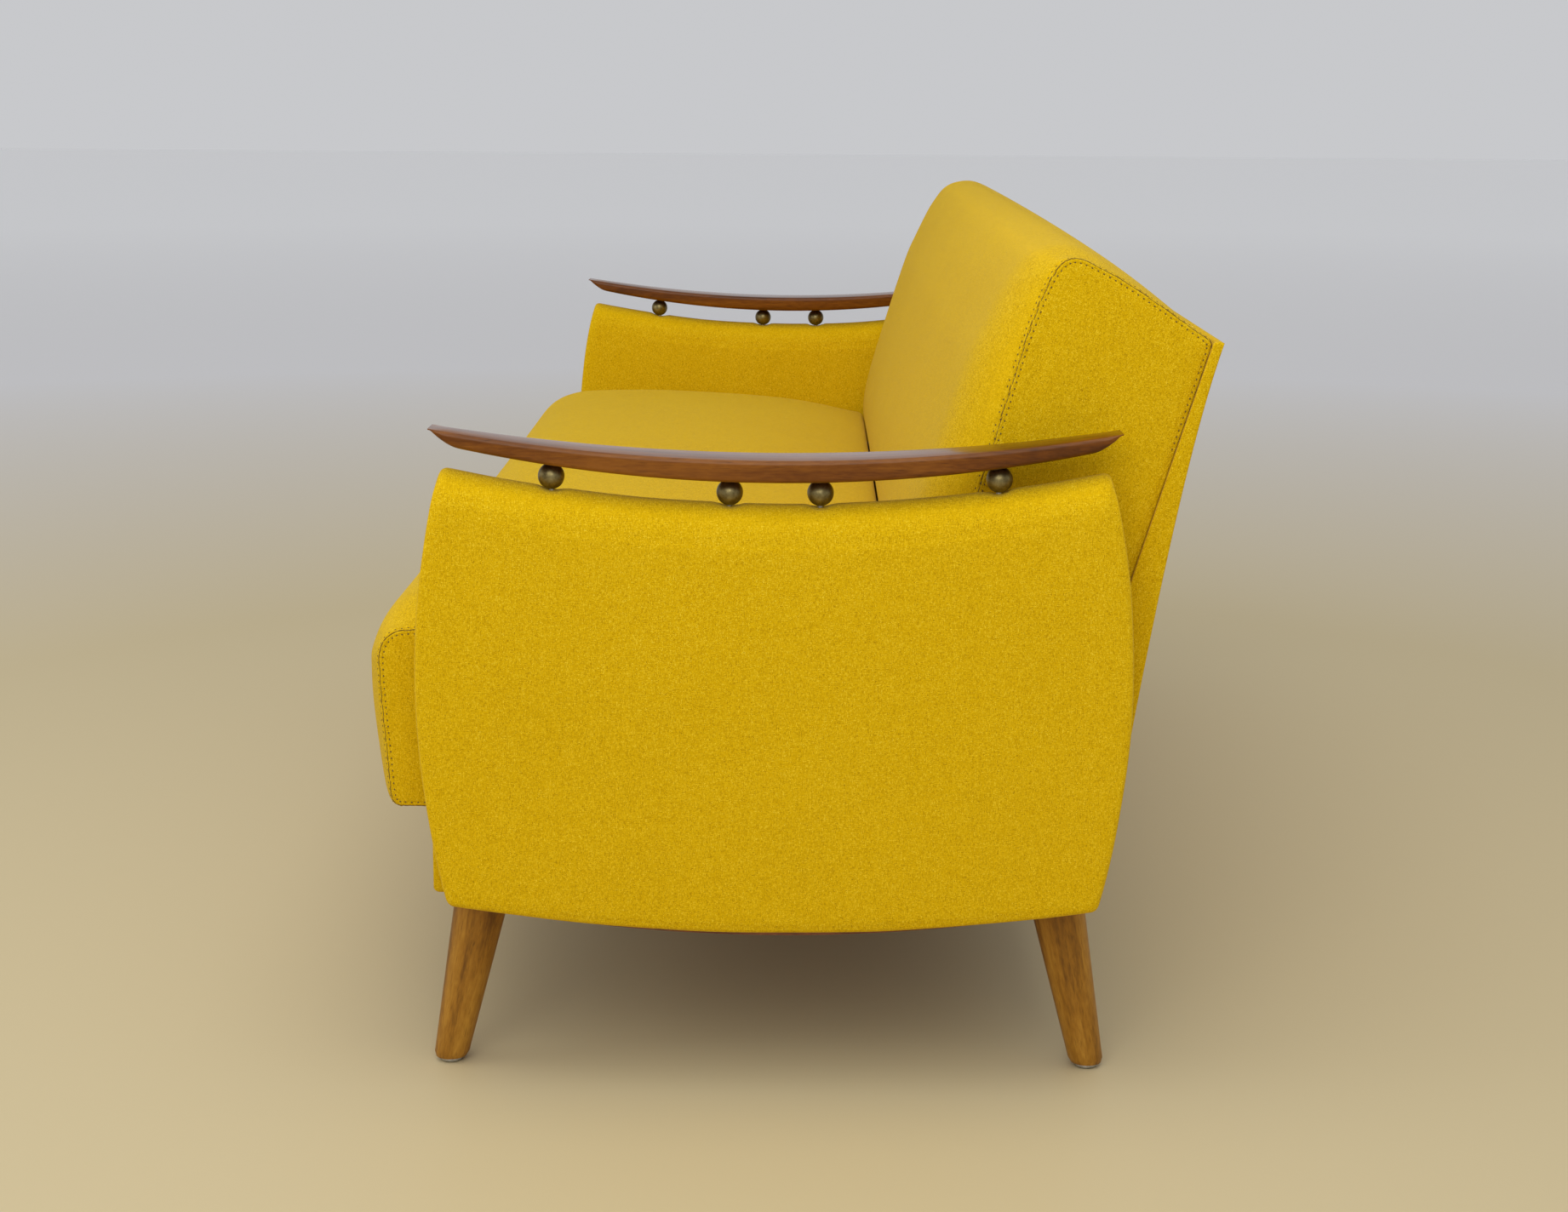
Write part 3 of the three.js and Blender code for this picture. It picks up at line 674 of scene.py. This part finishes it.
def arm_outline(side_in, top_in, foot_in, foot_sag=FOOT_SAG):
    """Barrel outline with a hollow top, counter-clockwise from the front foot corner."""
    foot = ARM_FOOT + foot_in
    top = ARM_TOP - top_in
    corners = [
        (ARM_Y - FOOT_HALF + side_in, foot),
        (ARM_Y + FOOT_HALF - side_in, foot),
        (ARM_Y + TOP_HALF - side_in, top),
        (ARM_Y - TOP_HALF + side_in, top),
    ]
    bows = (foot_sag, SIDE_BULGE, -TOP_SAG, SIDE_BULGE)
    counts = (ARM_ALONG, ARM_UP, ARM_ALONG, ARM_UP)
    sides = []
    for i in range(4):
        ends = corners[i], corners[(i + 1) % 4]
        sides.append(bowed_side(*ends, bows[i], SIDE_STOPS[i], counts[i]))
    spans = []
    for i in range(4):
        j = (i + 1) % 4
        spans += [sides[i], bend(sides[i][-1], corners[j], sides[j][0], ARM_TURN)]
    return join(spans)


def arm_softness(outline):
    """1 along the padded top edge, 0 along the other edges, eased round the top corners."""
    z = outline[:, 1]
    y = np.abs(outline[:, 0] - ARM_Y)
    edge = ARM_TOP - TOP_SAG * (1 - (y / TOP_HALF) ** 2)
    return eased(1 - (edge - z) / SOFT_DEPTH)


def arm_skin(sections, side, bulge):
    """The skin of an arm from the outlines and places along X of its outer half."""
    rings = [ring(outline, -x) for outline, x in reversed(sections)]
    rings += [ring(outline, x) for outline, x in sections]
    counts = (ARM_ALONG + ARM_TURN, ARM_UP + ARM_TURN)
    places, faces = closed_skin(rings, counts, bulge, -ARM_TURN // 2)
    places[:, 0] += side * ARM_X
    return places, faces


def arm_core(hand, side, material):
    """The boarded frame inside an arm, with its upper edges rounded off under the padding."""
    node = f"arm_core_{hand}"
    low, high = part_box(node)
    half_thick = (high.x - low.x) / 2
    sag = ARM_FOOT + CORE_INSET - low.z + CORE_SHOWN
    sections = []
    for turn in np.linspace(0, math.pi / 2, 9):
        inset = 1 - math.cos(turn)
        edge = CORE_EDGE * inset
        top = CORE_HIDDEN + CORE_TOP_ROUND * inset
        outline = arm_outline(CORE_HIDDEN + edge, top, CORE_INSET + edge, sag)
        radius = CORE_EDGE + (CORE_TOP_ROUND - CORE_EDGE) * arm_softness(outline)
        sections.append((outline, half_thick - radius * (1 - math.sin(turn))))
    piece = mesh_object(f"arm_boards_{hand}", *arm_skin(sections, side, 0))
    settle(piece, material, "frame", "fibre_board", node)


def arm_cover(hand, side, material):
    """One padded cover over both faces and the top of an arm's board."""
    soft = arm_softness(arm_outline(0, 0, 0))
    radius = EDGE_ROUND + (TOP_ROUND - EDGE_ROUND) * soft
    sections = []
    for turn in np.linspace(0, math.pi / 2, 10):
        inset = 1 - math.cos(turn)
        crown = CROWN * (1 - turn / (math.pi / 2)) ** 2
        outline = arm_outline(EDGE_ROUND * inset, TOP_ROUND * inset - crown, EDGE_ROUND * inset)
        sections.append((outline, ARM_HALF_THICK - radius * (1 - math.sin(turn))))
    piece = mesh_object(f"arm_padding_{hand}", *arm_skin(sections, side, BULGE))
    apply_subdivision(piece, 1)
    moved = ripple(coordinates(piece.data), coordinates(piece.data, "normal"), *RIPPLE, side)
    for i in range(1, 5):
        low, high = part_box(f"ball_{hand}_{i}")
        away = np.hypot(moved[:, 0] - (low.x + high.x) / 2, moved[:, 1] - (low.y + high.y) / 2)
        near = eased((DIMPLE[1] - away) / (DIMPLE[1] - DIMPLE[0]))
        near[moved[:, 2] < low.z - TOP_ROUND / 2] = 0
        moved[:, 2] -= (CROWN - SINK) * near
    set_coordinates(piece.data, moved)
    covers = (f"arm_cover_outer_{hand}", f"arm_cover_inner_{hand}")
    settle(piece, material, "frame", "mustard_fabric", *covers)


# ---- armrests, balls, legs

REST_Y = (rest_low.y + rest_high.y) / 2
REST_HALF = (rest_high.y - rest_low.y) / 2
REST_HALF_WIDTH = (rest_high.x - rest_low.x) / 2
REST_GAP = rest_low.z - (ARM_TOP - TOP_SAG)
REST_EDGE = 0.0045
REST_DOME = 0.0012
REST_THIN = 0.0012  # thickness left at the tips
REST_CAMBER = 0.0265  # from the top's middle up to its tips
TIP_START = 0.302  # from the middle to where the underside runs up to the tip
TIP_RISE = 0.0145
NOSE = 0.012  # the tip's rounded end, seen from above
SPLAY = math.atan(33 / 161)
LEG_FOOT = 0.0174  # radii, and the lengths of the straight foot and of the taper
LEG_HEAD = 0.0275
LEG_STRAIGHT = 0.012
LEG_TAPER = 0.173
LEG_SOFT = 0.0022


def rest_underside(y):
    bow = ARM_TOP - TOP_SAG * (1 - (y / TOP_HALF) ** 2) + REST_GAP
    past = max(0.0, (abs(y) - TIP_START) / (REST_HALF - TIP_START))
    return bow + TIP_RISE * past ** 1.8


def rest_top(y):
    return rest_high.z - REST_CAMBER * (1 - (y / REST_HALF) ** 2)


def armrest(hand, side, material):
    """A bowed plank with softened edges whose underside runs up to thin tips."""
    rings = []
    for y in REST_HALF * np.sin(np.linspace(-math.pi / 2, math.pi / 2, 91)):
        share = abs(y) / REST_HALF
        width = REST_HALF_WIDTH * (1 - 0.42 * share ** 2.4)
        nose = max(0.0, 1 - (1 - share) * REST_HALF / NOSE)
        width *= 1 - 0.10 * nose ** 2
        high = rest_top(y)
        low = min(rest_underside(y), high - REST_THIN)
        rings.append(rest_section(side * ARM_X, REST_Y + y, width, low, high))
    piece = mesh_object(f"armrest_plank_{hand}", *skin(rings))
    apply_subdivision(piece, 1)
    settle(piece, material, "frame", "walnut_wood", f"armrest_{hand}")


def rest_section(x, y, width, low, high):
    """A rounded box section with a slightly domed top."""
    edge = min(REST_EDGE, (high - low) * 0.42)
    dome = min(REST_DOME, (high - low) * 0.1)
    reach, up, down = width - edge, high - edge, low + edge
    corners = ((reach, up), (-reach, up), (-reach, down), (reach, down))
    points = []
    for quarter, (cx, cz) in enumerate(corners):
        for k in range(7):
            a = math.pi / 2 * (quarter + k / 6)
            points.append((x + cx + edge * math.cos(a), y, cz + edge * math.sin(a)))
        if quarter == 0:
            for share in (0.6, 0.2, -0.2, -0.6):
                points.append((x + share * width, y, high + dome * (1 - share ** 2)))
        if quarter == 2:
            for share in (-0.6, -0.2, 0.2, 0.6):
                points.append((x + share * width, y, low))
    return np.array(points)


def lathe(name, profile, centre, sides):
    """A closed turned piece from (radius, height) pairs about an upright axis at the centre."""
    rings = [
        np.column_stack([*circle(radius, sides), np.full(sides, height)]) + centre
        for radius, height in profile
    ]
    return mesh_object(name, *skin(rings))


def ball(label, material):
    """A turned ball with small flats where it meets the arm and the rest."""
    node = f"ball_{label}"
    low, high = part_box(node)
    radius = (high.x - low.x) / 2
    flat = math.asin((high.z - low.z) / 2 / radius)
    angles = np.linspace(-flat, flat, 41)
    profile = [(radius * math.cos(a), radius * math.sin(a)) for a in angles]
    piece = lathe(f"ball_turned_{label}", profile, np.array(low + high) / 2, 64)
    settle(piece, material, "frame", "bronze_ball", node)


def leg(label, material):
    """A turned tapering post, splayed and cut level at the plate and at the glide."""
    low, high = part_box(f"leg_{label}")
    glide_low, glide_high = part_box(f"leg_glide_{label}")
    end = 1 if low.y > 0 else -1
    foot_x = (low.x + high.x) / 2
    foot_y = (glide_low.y + glide_high.y) / 2 + end * MM
    sides = 72
    rings = []
    for level in np.linspace(low.z, high.z, 35):
        tapered = max(0, level / math.cos(SPLAY) - LEG_STRAIGHT) / LEG_TAPER
        softened = LEG_SOFT * max(0, 1 - (level - low.z) / LEG_SOFT) ** 2
        x, y = circle(LEG_FOOT + (LEG_HEAD - LEG_FOOT) * tapered - softened, sides)
        y = foot_y - end * level * math.tan(SPLAY) + y / math.cos(SPLAY)
        rings.append(np.column_stack([foot_x + x, y, np.full(sides, level)]))
    piece = mesh_object(f"leg_post_{label}", *skin(rings))
    add_bevel(piece, 0.8 * MM, 3)
    apply_modifiers(piece)
    settle(piece, material, "frame", "walnut_wood", f"leg_{label}")


def glide(label, material):
    """A pressed metal glide with a rolled rim and a dished foot."""
    node = f"leg_glide_{label}"
    low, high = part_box(node)
    centre = np.array(((low.x + high.x) / 2, (low.y + high.y) / 2, low.z))
    radius = (high.x - low.x) / 2
    tall = high.z - low.z
    profile = [
        (0.0008, 0),
        (radius * 0.62, 0),
        (radius * 0.86, 0.0002),
        (radius * 0.95, 0.0007),
        (radius, 0.0018),
        (radius, tall - 0.0012),
        (radius * 0.97, tall - 0.0003),
        (radius * 0.92, tall),
        (0.0008, tall),
    ]
    piece = lathe(f"glide_pressed_{label}", profile, centre, 56)
    settle(piece, material, "frame", "steel", node)


# ---- padded seat and back

CROWN_REACH = 0.090  # from an end seam to the full crown
SLACK = 0.96  # the cover before its padding swells it
CAP_RISE = 0.0020  # of an end panel beside its seam, and more of it in the middle
CAP_BULGE = 0.0025
MOVE_LIMIT = 0.024  # no point of a cushion swells further than this
SEAM_HOLD = 0.9
VOXEL = 0.012  # of the swelling copy
PRESSURE = 0.2
STIFFNESS = 60
BENDING = 20
SWELL_FRAMES = 20
SEAM_DEPTH = 0.0014
SEAM_REACH = 0.014
SEAM_POINTS = 2400
ROW_GAP = 0.0044  # from the seam to the stitches on each side of it
STITCH_PITCH = 0.0065
STITCH = (0.0011, 0.00075)  # half its length, and its radius
# A dark bead laid along each seam line as painted shade of the seam's pinch; half its length and
# its radius
SEAM_SHADE_BEAD = (STITCH_PITCH * 0.56, 0.00042)
RING_PITCH = 0.021
END_STEPS = (0, 2, 4.5, 8, 13, 19, 27, 37, 50, 65, 83, 103, 125)  # from the end seam, mm
CAP_STEPS = (2, 4.5, 8, 13, 20)  # inward from the end seam, mm


def stations(half):
    """Places of a cushion's rings along X, close together beside the end seams."""
    near = half - np.array(END_STEPS) * MM
    count = round(2 * near[-1] / RING_PITCH)
    middle = np.linspace(-near[-1], near[-1], count + 1)[1:-1]
    return [*-near, *middle, *near[::-1]]


def fullness(x, half):
    """How much of its crown a cushion has at x: none at the end seams."""
    share = np.clip((half - abs(x)) / CROWN_REACH, 0, 1)
    return 1 - (1 - share) ** 2.3


def shrunk(outline, step):
    """An outline drawn in towards its middle by about the given distance."""
    middle = (outline.min(0) + outline.max(0)) / 2
    half = (outline.max(0) - outline.min(0)) / 2
    return middle + (outline - middle) * (1 - step / half)


def held(places, foot, rear, low_reach, rear_reach):
    """1 where a cover is fixed to its frame, 0 where it is free to swell."""
    low = 1 - np.clip((places[:, 2] - foot) / low_reach, 0, 1)
    behind = 1 - np.clip((rear - places[:, 1]) / rear_reach, 0, 1)
    return np.maximum(low, behind)


class Cushion:
    """A padded unit along X: a crowned wrap between two end panels."""

    def __init__(self, name, panel, crown, counts, to_world, fixed):
        self.half = SEAT_HALF
        self.count = len(panel)
        self.caps = len(CAP_STEPS)
        rings = []
        for x in stations(self.half):
            full = fullness(x, self.half) * SLACK
            rings.append(ring(panel * (1 - full) + crown * full, x))
        for k, step in enumerate(CAP_STEPS):
            outline = shrunk(panel, step * MM)
            out = self.half + CAP_RISE * (k + 1) / self.caps
            rings.insert(0, ring(outline, -out))
            rings.append(ring(outline, out))
        self.rings = len(rings)
        places, faces = closed_skin(rings, counts, CAP_BULGE)
        self.hold = held(places, *fixed)
        self.piece = mesh_object(name, to_world(places), faces)

    def seam_ring(self, side):
        """Numbers of the vertices along the end seam on one side."""
        first = self.caps if side < 0 else self.rings - 1 - self.caps
        return range(first * self.count, (first + 1) * self.count)

    def inflate(self):
        """Swells a coarse copy as cloth over its padding, and moves the piece as it moved."""
        places = coordinates(self.piece.data)
        hold = self.hold.copy()
        for side in (-1, 1):
            numbers = list(self.seam_ring(side))
            hold[numbers] = np.maximum(hold[numbers], SEAM_HOLD)
        start, moves = swell(self.piece, places, hold)
        tree = point_tree(start)
        neighbours, blur = 9, 0.008
        given = np.zeros_like(places)
        for i, p in enumerate(places):
            near = tree.find_n(p, neighbours)
            weights = np.array([1 / (d + blur) for _, _, d in near])
            given[i] = (moves[[k for _, k, _ in near]] * weights[:, None]).sum(0) / weights.sum()
        length = np.linalg.norm(given, axis=1)[:, None]
        given *= MOVE_LIMIT / (MOVE_LIMIT + length) * (1 - hold)[:, None]
        set_coordinates(self.piece.data, places + given)


def swell(piece, places, hold):
    """Places of a remeshed copy, and their moves as cloth under pressure."""
    copy = put("swelling", piece.data.copy())
    remesh = copy.modifiers.new("remesh", "REMESH")
    remesh.mode = "VOXEL"
    remesh.voxel_size = VOXEL
    apply_modifiers(copy)
    start = coordinates(copy.data)
    tree = point_tree(places)
    pins = copy.vertex_groups.new(name="pins")
    for i, p in enumerate(start):
        _, nearest, _ = tree.find(p)
        pins.add([i], float(hold[nearest]), "REPLACE")
    settings = copy.modifiers.new("cloth", "CLOTH").settings
    settings.quality = 5
    settings.vertex_group_mass = "pins"
    settings.use_pressure = True
    settings.uniform_pressure_force = PRESSURE
    settings.effector_weights.gravity = 0
    for way in ("tension", "compression", "shear"):
        setattr(settings, f"{way}_stiffness", STIFFNESS)
    settings.bending_stiffness = BENDING
    scene = bpy.context.scene
    for step in range(SWELL_FRAMES):
        scene.frame_set(step + 1)
    graph = bpy.context.evaluated_depsgraph_get()
    moves = coordinates(copy.evaluated_get(graph).data) - start
    bpy.data.objects.remove(copy)
    scene.frame_set(1)
    return start, moves


def hump(away, width):
    return math.exp(-(away / width) ** 2)


def sew(cushion, side):
    """Draws the fabric in along an end seam and under its stitches; returns the seam's line."""
    data = cushion.piece.data
    places = coordinates(data)
    normals = coordinates(data, "normal")
    numbers = list(cushion.seam_ring(side))
    free = 1 - cushion.hold[numbers]
    free = even(np.append(free, free[:1])[:, None], SEAM_POINTS)[:, 0]
    ends = places[numbers]
    seam = even(np.vstack([ends, ends[:1]]), SEAM_POINTS)
    tree = point_tree(seam)
    wide, narrow = 0.006, 0.001
    beside = np.nonzero(places[:, 0] * side > cushion.half - 2 * SEAM_REACH)[0]
    for i in beside:
        _, at, away = tree.find(places[i])
        if away < SEAM_REACH:
            pucker = 1 + 0.30 * math.sin(at * 0.9) * hump(away, wide)
            seam_pull = hump(away, narrow) + 0.30 * hump(away, wide)
            row_pull = 0.45 * hump(away - ROW_GAP, 0.9 * narrow)
            pull = (seam_pull + row_pull) * pucker * (0.15 + 0.85 * free[at])
            places[i] -= normals[i] * SEAM_DEPTH * pull
    set_coordinates(data, places)
    return seam, free


def stitch_rows_and_seam_shade(name, cushion, centre, body, material):
    """A dark bead of painted seam shade along both end seams, and short stitches on each side, on
    the finished surface.
    """
    seams = {side: sew(cushion, side) for side in (1, -1)}
    data = cushion.piece.data
    surface = BVHTree.FromPolygons(
        [v.co for v in data.vertices],
        [p.vertices for p in data.polygons],
    )
    places, faces = [], []
    for side, (seam, free) in seams.items():
        run = np.linalg.norm(np.diff(seam, axis=0), axis=1).sum()
        count = int(run / STITCH_PITCH)
        line = even(seam, count)
        shown = np.interp(np.linspace(0, 1, count + 1), np.linspace(0, 1, len(free)), free)
        for i in range(1, count):
            if shown[i] < 0.5:
                continue
            along = Vector(line[i + 1] - line[i - 1]).normalized()
            inward = along.cross(Vector((side, 0, 0))).normalized()
            if inward.dot(centre - Vector(line[i])) < 0:
                inward = -inward
            # Two rows of stitches, and along the seam itself a dark bead of painted shade for the
            # seam's pinch
            threads = (
                (Vector((-side, 0, 0)) * ROW_GAP, STITCH),
                (inward * ROW_GAP, STITCH),
                (Vector(), SEAM_SHADE_BEAD),
            )
            for offset, sizes in threads:
                spot, normal, _, _ = surface.find_nearest(Vector(line[i]) + offset)
                add_bead(places, faces, spot, normal, along, *sizes)
    piece = mesh_object(name, places, faces)
    settle(piece, material, body, "mustard_fabric")


THREAD_FORM = {0: (1, 0.35), 0.72: (0.85, -0.1), 1: (0.35, -0.9)}  # width, lift along its half


def add_bead(places, faces, spot, normal, along, long, thick):
    """One thin six-sided bead that dips into the cloth at both ends; stitches and the painted seam
    shade are both made of these.
    """
    aside = normal.cross(along).normalized()
    rings = []
    for t in (-1, -0.72, 0, 0.72, 1):
        width, lift = THREAD_FORM[abs(t)]
        across, up = circle(width * thick, 6)
        middle = np.array(spot + along * (t * long) + normal * (lift * thick))
        rings.append(middle + np.outer(across, aside) + np.outer(up, normal))
    first = len(places)
    added, quads = skin(rings)
    places.extend(added)
    faces.extend(tuple(first + i for i in quad) for quad in quads)


SEAT_HALF = seat_high.x
SEAT_FRONT = seat_low.y
SEAT_FOOT = seat_low.z
SEAT_REAR = seat_high.y
SEAT_SEAM = SEAT_FOOT + 0.183
SEAT_STEPS = (18, 46)  # up the front and rear, along the top and underside


def cushion_outline(origin, foot_rear, top_rear, steps, front, top):
    """A closed outline in Y and Z, counter-clockwise from the rear of the underside.

    The points up the front, and those over the top to top_rear, are in mm from the origin.
    """
    front, top = (np.array(line) * MM + origin for line in (front, top))
    loop = join([
        even([foot_rear, front[0]], steps[1]),
        smooth_line(front, steps[0]),
        smooth_line([front[-1], *top, top_rear], steps[1]),
        even([top_rear, foot_rear], steps[0]),
    ])
    return np.roll(loop[::-1], 1, axis=0)


def seat_outlines():
    """End panel and full crown of the seat."""
    near_rear = (SEAT_REAR - SEAT_FRONT) / MM - 10
    panel = (
        [(35, 0.5), (29, 6), (25.5, 50), (20.5, 115), (19, 155)],
        [(22.5, 169), (32, 179), (52, 182.5), (200, 183), (400, 183), (near_rear, 181)],
    )
    crown = (
        [(23, 0), (14, 7), (7, 45), (1, 100), (0, 146)],
        [(12, 178), (32, 203), (60, 217.5), (102.5, 223.7), (240, 224), (418, 211), (529, 184)],
    )
    origin = (SEAT_FRONT, SEAT_FOOT)
    rear = (SEAT_REAR, SEAT_FOOT), (SEAT_REAR, SEAT_SEAM - 0.012)
    return [cushion_outline(origin, *rear, SEAT_STEPS, *lines) for lines in (panel, crown)]


LEAN = math.radians(17)
BACK_DEPTH = 0.158
BACK_HEIGHT = 0.448
BACK_STEPS = (36, 22)  # up the front and rear, over the top and underside
HINGE = (0.013, 0.032)  # the pivot, behind and above the back's lower front seam


def back_to_world(places):
    """From the upright back unit, Y behind its front seam and Z up its height, to its place."""
    c, s = math.cos(LEAN), math.sin(LEAN)
    foot_y = PIVOT.y - HINGE[0] * c - HINGE[1] * s
    foot_z = PIVOT.z + HINGE[0] * s - HINGE[1] * c
    y = foot_y + places[:, 1] * c + places[:, 2] * s
    z = foot_z - places[:, 1] * s + places[:, 2] * c
    return np.column_stack([places[:, 0], y, z])


def back_outlines():
    """End panel and full crown of the back, drawn upright."""
    panel = (
        [(-10, 0), (-13, 120), (-14, 231), (-16, 343), (-14, 400), (-10, 425)],
        [(-4, 437.5), (6.5, 443.5), (22, 442.5), (68, 432.5)],
    )
    crown = (
        [(-16, 0), (-34, 27), (-51, 53), (-60, 120), (-60, 290), (-55, 344), (-48, 389)],
        [(-35, 428), (-9, 447.5), (18, 451), (70, 438)],
    )
    rear = (BACK_DEPTH, 0), (BACK_DEPTH, 0.405)
    return [cushion_outline((0, 0), *rear, BACK_STEPS, *lines) for lines in (panel, crown)]


def padded_units(materials):
    """Cushions swollen over their padding, then sewn and stitched along their end seams."""
    seat_middle = Vector((0, (SEAT_FRONT + SEAT_REAR) / 2, (SEAT_FOOT + SEAT_SEAM) / 2))
    back_middle = Vector(back_to_world(np.array([[0, BACK_DEPTH / 2, BACK_HEIGHT / 2]]))[0])
    # Foot and rear, and how far each holds the cover
    seat_fixed = (SEAT_FOOT, SEAT_REAR, 0.012, 0.020)
    back_fixed = (0, BACK_DEPTH, 0.015, 0.015)
    weave, leaning = materials["fabric"], materials["fabric_lean"]
    for body, outlines, steps, to_world, fixed, middle, cloth in (
        ("seat", seat_outlines(), SEAT_STEPS, np.copy, seat_fixed, seat_middle, weave),
        ("back", back_outlines(), BACK_STEPS, back_to_world, back_fixed, back_middle, leaning),
    ):
        unit = Cushion(f"{body}_padding", *outlines, steps, to_world, fixed)
        unit.inflate()
        apply_subdivision(unit.piece, 2)
        # The stitches piece holds the stitches and the painted seam shade bead
        stitch_rows_and_seam_shade(f"{body}_stitches", unit, middle, body, materials["thread_and_seam_shade"])
        settle(unit.piece, cloth, body, "mustard_fabric", f"{body}_cushion")


# ---- shell and front rail

WELT = 0.0063
SHELL_EDGE = 0.0018


def shell_outline(welt):
    """Upright, then leaning with the back, inside; one long curve outside; rolled at the top.

    The inner face stands nearer to the back by welt.
    """
    kink = (shell_low.y, 0.396)
    foot = (0.322, shell_low.z)
    top = np.array([shell_high.y, shell_high.z])
    outside = bend(foot, (0.3795, 0.610), top, 59)
    # The leaning face in the back's own directions: the roll, then the flat down to the kink
    leaning = ((160.4, 405), (160.4, 398), (161.8, 378), (163, 355), (163, 90))
    leaning = [(0, min(behind * MM, 0.163 - welt), up * MM) for behind, up in leaning]
    roll = back_to_world(np.array(leaning))[:, 1:]
    edge = (top + roll[0]) / 2 + np.array([0, 0.0012])
    return join([
        even(outside, 56),
        smooth_line([top, edge, roll[0]], 6),
        smooth_line(roll[:4], 10),
        even(roll[3:], 24),
        even([roll[4], kink], 8),
        even([kink, (shell_low.y, shell_low.z)], 24),
        even([(shell_low.y, shell_low.z), foot], 4),
    ])


def shell(material):
    """The padded shell, with a welt beyond the back's ends that closes the gap to it."""
    half = shell_high.x
    past_back = SEAT_HALF + 0.0018
    plain = shell_outline(0)
    welted = shell_outline(WELT)
    normals = outward(welted)
    side = [ring(plain, x) for x in np.linspace(0, past_back - 0.0006, 20)[1:]]
    side.append(ring(plain, past_back - 0.0003))
    side.append(ring(welted, past_back))
    for turn in np.linspace(0, math.pi / 2, 6):
        rounded = welted - normals * SHELL_EDGE * (1 - math.cos(turn))
        side.append(ring(rounded, half - SHELL_EDGE * (1 - math.sin(turn))))
    piece = mesh_object("shell_wrap", *skin(mirrored(ring(plain, 0), side)))
    settle(piece, material, "frame", "mustard_fabric", "back_shell_cover")


def rail_wrap(material):
    """Fabric over the front rail's top, front and ends, tucked in under its lower edge."""
    front, under = rail_low.y, rail_low.z
    rear, top = rail_high.y, rail_high.z
    thick = 0.004
    fold = 0.005
    tuck = front + 0.012
    quarter = np.linspace(0, math.pi / 2, 7)
    fall, rise = (fold * (1 - wave(quarter)) for wave in (np.sin, np.cos))

    def section(behind, inset):
        foot_turn = zip(front + inset + fall, under + rise)
        top_turn = zip(front + inset + rise, top - fall)
        inside = [
            (rear, top - thick),
            (behind, top - thick),
            (behind, under + thick),
            (tuck, under + thick - 0.0003),
        ]
        return np.array([(tuck, under), *foot_turn, *top_turn, (rear, top), *inside])[::-1]

    open_section = section(front + thick, 0)
    closed_section = section(rear - 0.0005, 0)
    half = rail_high.x
    capped = half - 0.0024
    side = [ring(open_section, x) for x in np.linspace(0, capped, 24)[1:]]
    side.append(ring(closed_section, capped + 0.0002))
    side.append(ring(closed_section, half - 0.0010))
    side.append(ring(section(rear - 0.0005, 0.0010), half))
    piece = mesh_object("front_rail_wrap", *skin(mirrored(ring(open_section, 0), side)))
    settle(piece, material, "frame", "mustard_fabric", "front_rail_cover")


# ---- pieces kept from the frame

def dress_kept(materials):
    """Materials and softened edges for the frame's own solids that stay in view."""
    looks = {
        "front_rail": ("pine", 1.0),
        "rear_rail": ("pine", 1.0),
        "floor_bearer": ("pine_deep", 1.0),
        "box_floor": ("board", 0.4),
        "back_shell_core": ("pine", 0.5),
        "seat_frame": ("pine", 1.5),
        "back_frame": ("pine", 1.5),
        "seat_spring_unit": ("felt", 4.0),
        "back_spring_unit": ("felt", 4.0),
    }
    for hand, _ in HANDS:
        looks[f"side_rail_{hand}"] = ("pine_deep", 1.0)
        looks[f"seat_guide_{hand}"] = ("pine_deep", 0.8)
        hinges = ("seat_hinge_plate", "back_hinge_plate", "hinge_pin")
        for metal in (*hinges, "leg_plate_front", "leg_plate_rear"):
            looks[f"{metal}_{hand}"] = ("steel", 0.3)
        for i in range(1, 5):
            looks[f"ball_stud_{hand}_{i}"] = ("steel", 0.2)
    for name, (material, bevel) in looks.items():
        node = frame["nodes"][name]
        node.data.materials.clear()
        node.data.materials.append(materials[material])
        add_bevel(node, bevel * MM)


# ---- the whole sofa

def main():
    materials = make_materials()
    place_camera()
    light_studio()
    lay_floor()
    for hand, side in HANDS:
        arm_cover(hand, side, materials["fabric"])
        arm_core(hand, side, materials["board"])
        armrest(hand, side, materials["rest"])
        for i in range(1, 5):
            ball(f"{hand}_{i}", materials["bronze"])
        for end in ("front", "rear"):
            leg(f"{end}_{hand}", materials[f"leg_{end}"])
            glide(f"{end}_{hand}", materials["steel"])
    padded_units(materials)
    shell(materials["fabric_lean"])
    rail_wrap(materials["fabric"])
    dress_kept(materials)


main()
